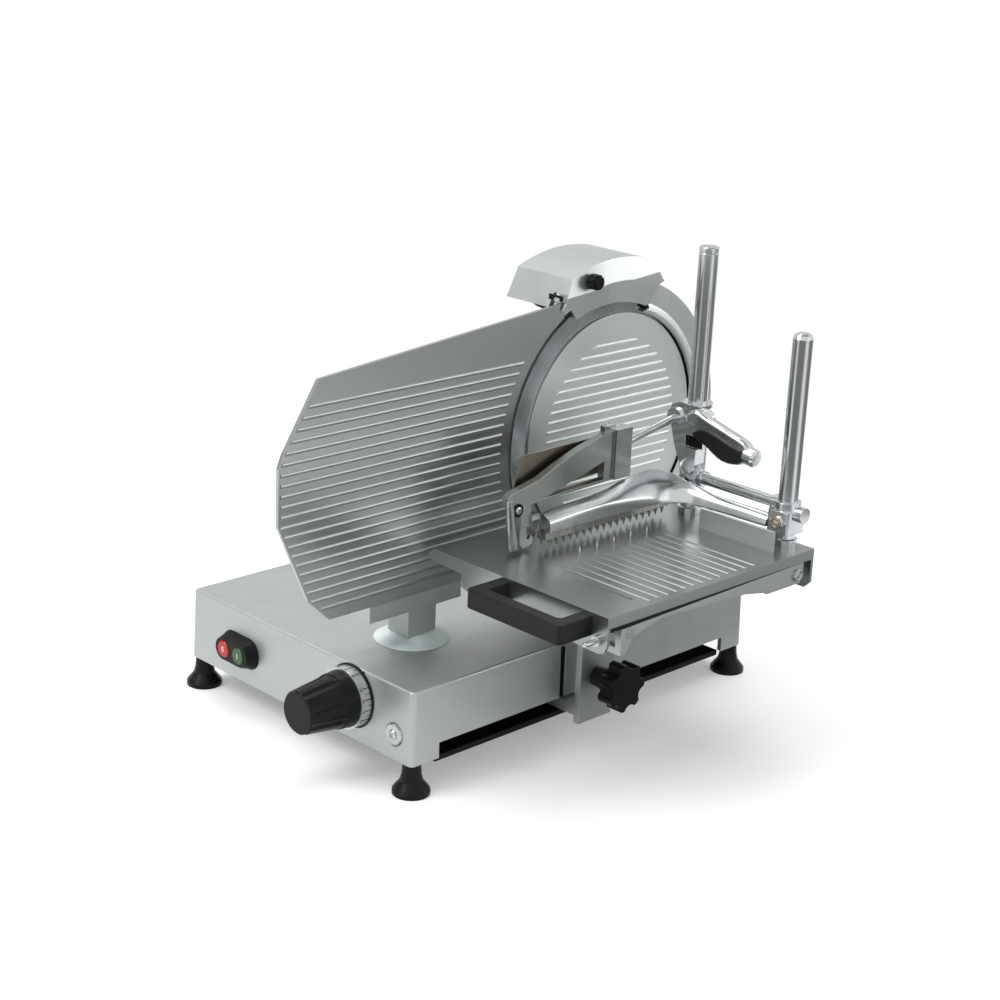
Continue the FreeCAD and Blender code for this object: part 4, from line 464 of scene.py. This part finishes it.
dial_marks()
add_piece("dial_seal", turned([(0, 36.9), (2.4, 36.9), (2.8, 37.2), (2.8, 38.1), (2.4, 38.4), (0, 38.4), (0, 36.9)],
                              (DIAL_X, -286.9, DIAL_Z), TO_FRONT, 96), black_rubber, "base")
add_piece("dial_pointer", turned([(-0.3, 0), (-0.3, 1.25), (0.15, 1.25), (0.4, 0.8), (0.45, 0)],
                                 (119.9, -287.6, 123.3), TO_FRONT, 24), ink, "base")
add_piece("stop_mark", button_letter("0", STOP_X), pale_ink, "stop", False)
add_piece("start_mark", button_letter("I", START_X), pale_ink, "start", False)
add_piece("plug_screw", screw_head((175.4, -291.0, 67.5), TO_FRONT, 6.0, 2.6), steel, "base")
add_piece("guard_screw", screw_head((172.0, 41.0, 370.5), UP, 4.2, 2.4), steel, "guard")
add_piece("rod_end_screw", turned([(-0.2, 7.2), (0.7, 7.2), (1.1, 6.7), (1.1, 5.7), (0.2, 5.3), (0.2, 4.0),
                                   (0.8, 3.6), (0.9, 0)], (383.0, 156.0, 216.3), ALONG_X),
          steel, "carriage")
add_piece("boss_ring", turned([(0, 4.6), (0, 6.9), (0.9, 6.9), (1.3, 6.5), (1.3, 5.0), (0.9, 4.6), (0, 4.6)],
                              (OUTER_POST_X, 145.0, 275.0), TO_FRONT), bronze, "press")
for post, x in (("inner", INNER_POST_X), ("outer", OUTER_POST_X)):
    add_piece(f"{post}_post_collar", turned([(0, POST_RADIUS), (0, 14.6), (3.2, 14.6), (4.2, 13.9),
                                             (4.6, POST_RADIUS), (0, POST_RADIUS)], (x, POST_Y, TABLE_TOP), UP),
              polished, "table")


def filled_in(rows, spacing):
    """Rows of numbers with smooth rows added between them, by the distance between the first two numbers."""
    marks = [0.0]
    for row, after in zip(rows, rows[1:]):
        marks.append(marks[-1] + math.dist(row[:2], after[:2]))
    slopes = []
    for i in range(len(rows)):
        low, high = max(i - 1, 0), min(i + 1, len(rows) - 1)
        slopes.append([(q - p) / (marks[high] - marks[low]) for p, q in zip(rows[low], rows[high])])
    result = []
    for i in range(len(rows) - 1):
        span = marks[i + 1] - marks[i]
        count = max(2, round(span / spacing))
        for k in range(count):
            t = k / count
            weights = (2 * t ** 3 - 3 * t ** 2 + 1, (t ** 3 - 2 * t ** 2 + t) * span, 3 * t ** 2 - 2 * t ** 3,
                       (t ** 3 - t ** 2) * span)
            parts = zip(rows[i], slopes[i], rows[i + 1], slopes[i + 1])
            result.append([sum(w * v for w, v in zip(weights, part)) for part in parts])
    return result + [list(rows[-1])]


def softened(points, radii, steps=5):
    """A closed outline with each corner turned into a curve of about the given size."""
    result = []
    for i, corner in enumerate(points):
        before, after = points[i - 1] - corner, points[(i + 1) % len(points)] - corner
        start = corner + before * min(0.45, radii[i] / before.length)
        end = corner + after * min(0.45, radii[i] / after.length)
        for k in range(steps + 1):
            t = k / steps
            result.append((1 - t) ** 2 * start + 2 * t * (1 - t) * corner + t ** 2 * end)
    return result


ARM_START = Vector((180.0, POST_Y, 0))
SECTION_SPACING = 4.0
SHOULDER_PLACE = 0.25
CORNER_SIZES = (1.0, 1.0, 4.0, 7.0, 5.0)


def press_arm():
    """The polished arm: upright sections from the guard round the bend to the outer boss."""
    # For each section, in plan from ARM_START, the x and y of its outer and its inner side, then the heights of its
    # underside, inner crest, shoulder and outer top.
    rows = [
        (0, -242, 18, -242, 266.4, 279, 284, 289), (0, -215, 18, -215, 266.4, 280.5, 286, 291),
        (0, -185, 18, -185, 266.4, 282, 287.5, 292.5), (0, -155, 18.5, -155, 266.4, 282.5, 288.5, 294),
        (-1, -125, 19, -126, 266.4, 281, 288.5, 297), (-3, -98, 19.8, -101, 266.5, 278.5, 288.5, 301.5),
        (-4, -70, 21.5, -80, 266.6, 275.5, 289, 305), (-2, -45, 25.5, -60, 266.8, 272.5, 288.5, 305.5),
        (8, -29, 34, -44, 267, 270.5, 286.5, 301), (31, -21, 46, -33.5, 267.2, 270, 284, 294),
        (58, -17, 65, -29, 267, 270, 281, 288.5), (84, -13.5, 87, -25.5, 266.8, 269.8, 279.5, 284.5),
        (120, -9.5, 121, -21.5, 266, 269, 278, 283), (154.3, -5.5, 154.3, -18, 265.4, 268, 276.5, 281.5)]
    bm = bmesh.new()
    rings = []
    for outer_x, outer_y, inner_x, inner_y, low, crest, shoulder, top in filled_in(rows, SECTION_SPACING):
        step_x = inner_x + SHOULDER_PLACE * (outer_x - inner_x)
        step_y = inner_y + SHOULDER_PLACE * (outer_y - inner_y)
        corners = [Vector(v) for v in ((outer_x, outer_y, low), (inner_x, inner_y, low), (inner_x, inner_y, crest),
                                       (step_x, step_y, shoulder), (outer_x, outer_y, top))]
        rings.append([bm.verts.new(ARM_START + v) for v in softened(corners, CORNER_SIZES)])
    sides = len(rings[0])
    for low, high in zip(rings, rings[1:]):
        for i in range(sides):
            j = (i + 1) % sides
            bm.faces.new((low[i], low[j], high[j], high[i]))
    bm.faces.new(rings[0][::-1])
    bm.faces.new(rings[-1])
    bmesh.ops.recalc_face_normals(bm, faces=bm.faces)
    arm = add_piece("polished_arm", finished(bm), arm_metal, "press")
    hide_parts("press_arm")


HOOD_EDGE_Y, SEAL_DEPTH, SEAL_EDGE = 25.2, 2.2, 0.4
GUARD_BOLT = (180.0, -113.0, 297.0)
PAD_SLOPE = 0.35

press_arm()
# A thin black strip under the table's lip: painted shade standing in for the dark interior seen through the gap.
add_piece("lip_gap_shade_strip", slab([(-172.5, 225.2), (80, 229.0), (84, 231.9), (-172.5, 231.9)], (381.2, 0, 0),
                                ALONG_Y, UP, 3.0, 0.3), black_rubber, "table")
# A thin black sheet on the clamp's front: painted shade standing in for the dark inside of its window.
add_piece("clamp_window_shade", front_slab(oblong(204.8, 332.6, 226.8, 347.4), 151.9, 0.5, 0.1),
          black_paint, "press")
add_piece("hood_seal", front_slab(oblong(78.9, 507, 101.1, 513.7), HOOD_EDGE_Y, SEAL_DEPTH, SEAL_EDGE),
          black_rubber, "hood")
add_piece("hood_tab", front_slab([(87.5, 506.6), (97.5, 506.6), (96.5, 511), (89.5, 511)], 24.4, 0.9, 0.25),
          hood_metal, "hood")
add_piece("hood_lip", front_slab([(52, 497.0), (60, 494.6), (78.2, 492.4), (78.2, 497.0)], HOOD_EDGE_Y, SEAL_DEPTH,
                                 SEAL_EDGE), black_rubber, "hood")
add_piece("guard_bolt", screw_head(GUARD_BOLT, ALONG_X, 5.0, 3.2), steel, "guard")
add_piece("guard_washer", turned([(0, 5.2), (0, 8.0), (0.9, 8.0), (1.2, 7.6), (1.2, 5.2), (0, 5.2)],
                                 GUARD_BOLT, ALONG_X), black_paint, "guard")
add_piece("joint_pad", slab(oblong(0, 0, 6, 5.5), (105.6, 172.5, 479.0), (0, 1, PAD_SLOPE), (0, -PAD_SLOPE, 1),
                            2.4, 0.6), black_rubber, "base")

# ---------------------------------------------------------------- floor, background and lamps


FLOOR_REACH, FLOOR_LEVEL = 12.0, -0.0002
FLOOR_COLOUR, FLOOR_GLOW = 0.80, 0.29
BACKDROP_START, BACKDROP_FULL = 0.7, 2.0
ROOM_COLOUR = (0.50, 0.51, 0.52, 1)
LIT_POINT = (0.05, 0.0, 0.2)
FLAG_CENTRE = (0.25, 0.15)
FLAG_STEPS = 24
FLOOR_FLAG_HEIGHT = 0.004


def bare_tree(owner, output):
    """The node tree of a material or world, with nothing in it but its output."""
    owner.use_nodes = True
    owner.node_tree.nodes.clear()
    return owner.node_tree, owner.node_tree.nodes.new(output)


def emission(tree, grey):
    node = tree.nodes.new("ShaderNodeEmission")
    node.inputs["Color"].default_value = (grey, grey, grey, 1)
    return node


def stage_floor():
    """A pale floor that keeps the shadow, and far from the object turns into an even white backdrop."""
    mesh = bpy.data.meshes.new("floor")
    mesh.from_pydata([(FLOOR_REACH * x, FLOOR_REACH * y, FLOOR_LEVEL) for x, y in oblong(-1, -1, 1, 1)], [],
                     [(0, 1, 2, 3)])
    floor = bpy.data.objects.new("floor", mesh)
    bpy.context.scene.collection.objects.link(floor)
    material = bpy.data.materials.new("floor")
    tree, out = bare_tree(material, "ShaderNodeOutputMaterial")
    diffuse = tree.nodes.new("ShaderNodeBsdfDiffuse")
    diffuse.inputs["Color"].default_value = (FLOOR_COLOUR, FLOOR_COLOUR, FLOOR_COLOUR, 1)
    near, far = emission(tree, FLOOR_GLOW), emission(tree, 1.0)
    for glow in (near, far):
        tree.links.new(seen(tree), glow.inputs["Strength"])
    both = tree.nodes.new("ShaderNodeAddShader")
    tree.links.new(diffuse.outputs[0], both.inputs[0])
    tree.links.new(near.outputs[0], both.inputs[1])
    place = tree.nodes.new("ShaderNodeTexCoord")
    length = tree.nodes.new("ShaderNodeVectorMath")
    length.operation = "LENGTH"
    tree.links.new(place.outputs["Object"], length.inputs[0])
    fade = tree.nodes.new("ShaderNodeMapRange")
    fade.interpolation_type = "SMOOTHSTEP"
    fade.inputs["From Min"].default_value = BACKDROP_START
    fade.inputs["From Max"].default_value = BACKDROP_FULL
    tree.links.new(length.outputs["Value"], fade.inputs["Value"])
    mix = tree.nodes.new("ShaderNodeMixShader")
    tree.links.new(fade.outputs["Result"], mix.inputs[0])
    tree.links.new(both.outputs[0], mix.inputs[1])
    tree.links.new(far.outputs[0], mix.inputs[2])
    tree.links.new(mix.outputs[0], out.inputs["Surface"])
    mesh.materials.append(material)


def seen(tree):
    """1 for rays that the eye, a gloss or a glass sends out, and 0 for the rest."""
    path = tree.nodes.new("ShaderNodeLightPath")
    total = path.outputs["Is Camera Ray"]
    for name in ("Is Glossy Ray", "Is Transmission Ray"):
        add = tree.nodes.new("ShaderNodeMath")
        add.operation = "ADD"
        add.use_clamp = True
        tree.links.new(total, add.inputs[0])
        tree.links.new(path.outputs[name], add.inputs[1])
        total = add.outputs[0]
    return total


def set_world():
    """A grey room's soft light, which shows as white where it is seen or mirrored."""
    world = bpy.data.worlds.new("world")
    bpy.context.scene.world = world
    tree, out = bare_tree(world, "ShaderNodeOutputWorld")
    back = tree.nodes.new("ShaderNodeBackground")
    mix = tree.nodes.new("ShaderNodeMix")
    mix.data_type = "RGBA"
    mix.inputs[6].default_value = ROOM_COLOUR
    mix.inputs[7].default_value = (1.0, 1.0, 1.0, 1)
    tree.links.new(seen(tree), mix.inputs[0])
    tree.links.new(mix.outputs[2], back.inputs["Color"])
    tree.links.new(back.outputs[0], out.inputs["Surface"])


def lamp(name, place, width, height, power):
    """A soft box in metres and watts, turned towards the object."""
    data = bpy.data.lights.new(name, "AREA")
    data.shape = "RECTANGLE"
    data.size = width
    data.size_y = height
    data.energy = power
    obj = bpy.data.objects.new(name, data)
    obj.location = place
    obj.rotation_euler = (Vector(LIT_POINT) - Vector(place)).to_track_quat("-Z", "Y").to_euler()
    bpy.context.scene.collection.objects.link(obj)


def flag(name, verts, faces, grey):
    """A studio flag out of view: only mirror-like surfaces see it, as their darker streaks."""
    mesh = bpy.data.meshes.new(name)
    mesh.from_pydata(verts, [], faces)
    obj = bpy.data.objects.new(name, mesh)
    bpy.context.scene.collection.objects.link(obj)
    material = bpy.data.materials.new(name)
    tree, out = bare_tree(material, "ShaderNodeOutputMaterial")
    tree.links.new(emission(tree, grey).outputs[0], out.inputs["Surface"])
    mesh.materials.append(material)
    obj.visible_camera = False
    obj.visible_diffuse = False
    obj.visible_shadow = False
    obj.visible_transmission = False


def flat_flag(name, corners, height, grey):
    flag(name, [(x, y, height) for x, y in corners], [(0, 1, 2, 3)], grey)


def sector(name, start, end, near, far, height, grey, top=None):
    """Part of a ring round the posts, flat on the floor or, with a top, standing up as a wall."""
    verts, faces = [], []
    for i in range(FLAG_STEPS + 1):
        turn = math.radians(start + (end - start) * i / FLAG_STEPS)
        for reach, level in ((near, height), (far, height if top is None else top)):
            verts.append((FLAG_CENTRE[0] + reach * math.cos(turn), FLAG_CENTRE[1] + reach * math.sin(turn), level))
    for i in range(FLAG_STEPS):
        faces.append((2 * i, 2 * i + 1, 2 * i + 3, 2 * i + 2))
    flag(name, verts, faces, grey)


stage_floor()
set_world()
lamp("key", (-0.75, -2.1, 2.7), 1.6, 1.6, 52.0)
lamp("top", (0.0, 0.4, 3.0), 2.4, 2.4, 46.0)
lamp("fill", (2.8, 0.6, 1.2), 1.4, 1.4, 4.0)
lamp("rim", (2.6, 2.8, 1.0), 2.2, 0.5, 12.0)
# Angles in degrees and distances from the posts; the greys step down so that no streak has a hard edge.
for name, start, end, near, far, grey in (
        ("flag_right_a", 12, 24, 0.95, 3.2, 0.55), ("flag_right_b", 24, 80, 0.95, 3.2, 0.24),
        ("flag_front_a", -100, -88, 0.85, 3.2, 0.55), ("flag_front_b", -88, -24, 0.85, 3.2, 0.22),
        ("flag_front_c", -24, -12, 0.85, 3.2, 0.55), ("flag_left_a", -180, -168, 0.9, 3.0, 0.5),
        ("flag_left_b", -168, -145, 0.9, 3.0, 0.2)):
    sector(name, start, end, near, far, FLOOR_FLAG_HEIGHT, grey)
sector("flag_back", 95, 170, 2.8, 2.8, 0.1, 0.72, top=2.2)
sector("flag_skirt", -158, -112, 2.8, 2.8, 0.35, 0.5, top=2.1)
flat_flag("flag_near", oblong(0.25, -0.06, 0.8, 0.75), 0.003, 0.25)
flat_flag("flag_top", oblong(-0.4, -1.0, 2.4, 2.0), 2.6, 0.45)

bpy.context.scene.view_settings.view_transform = "Standard"
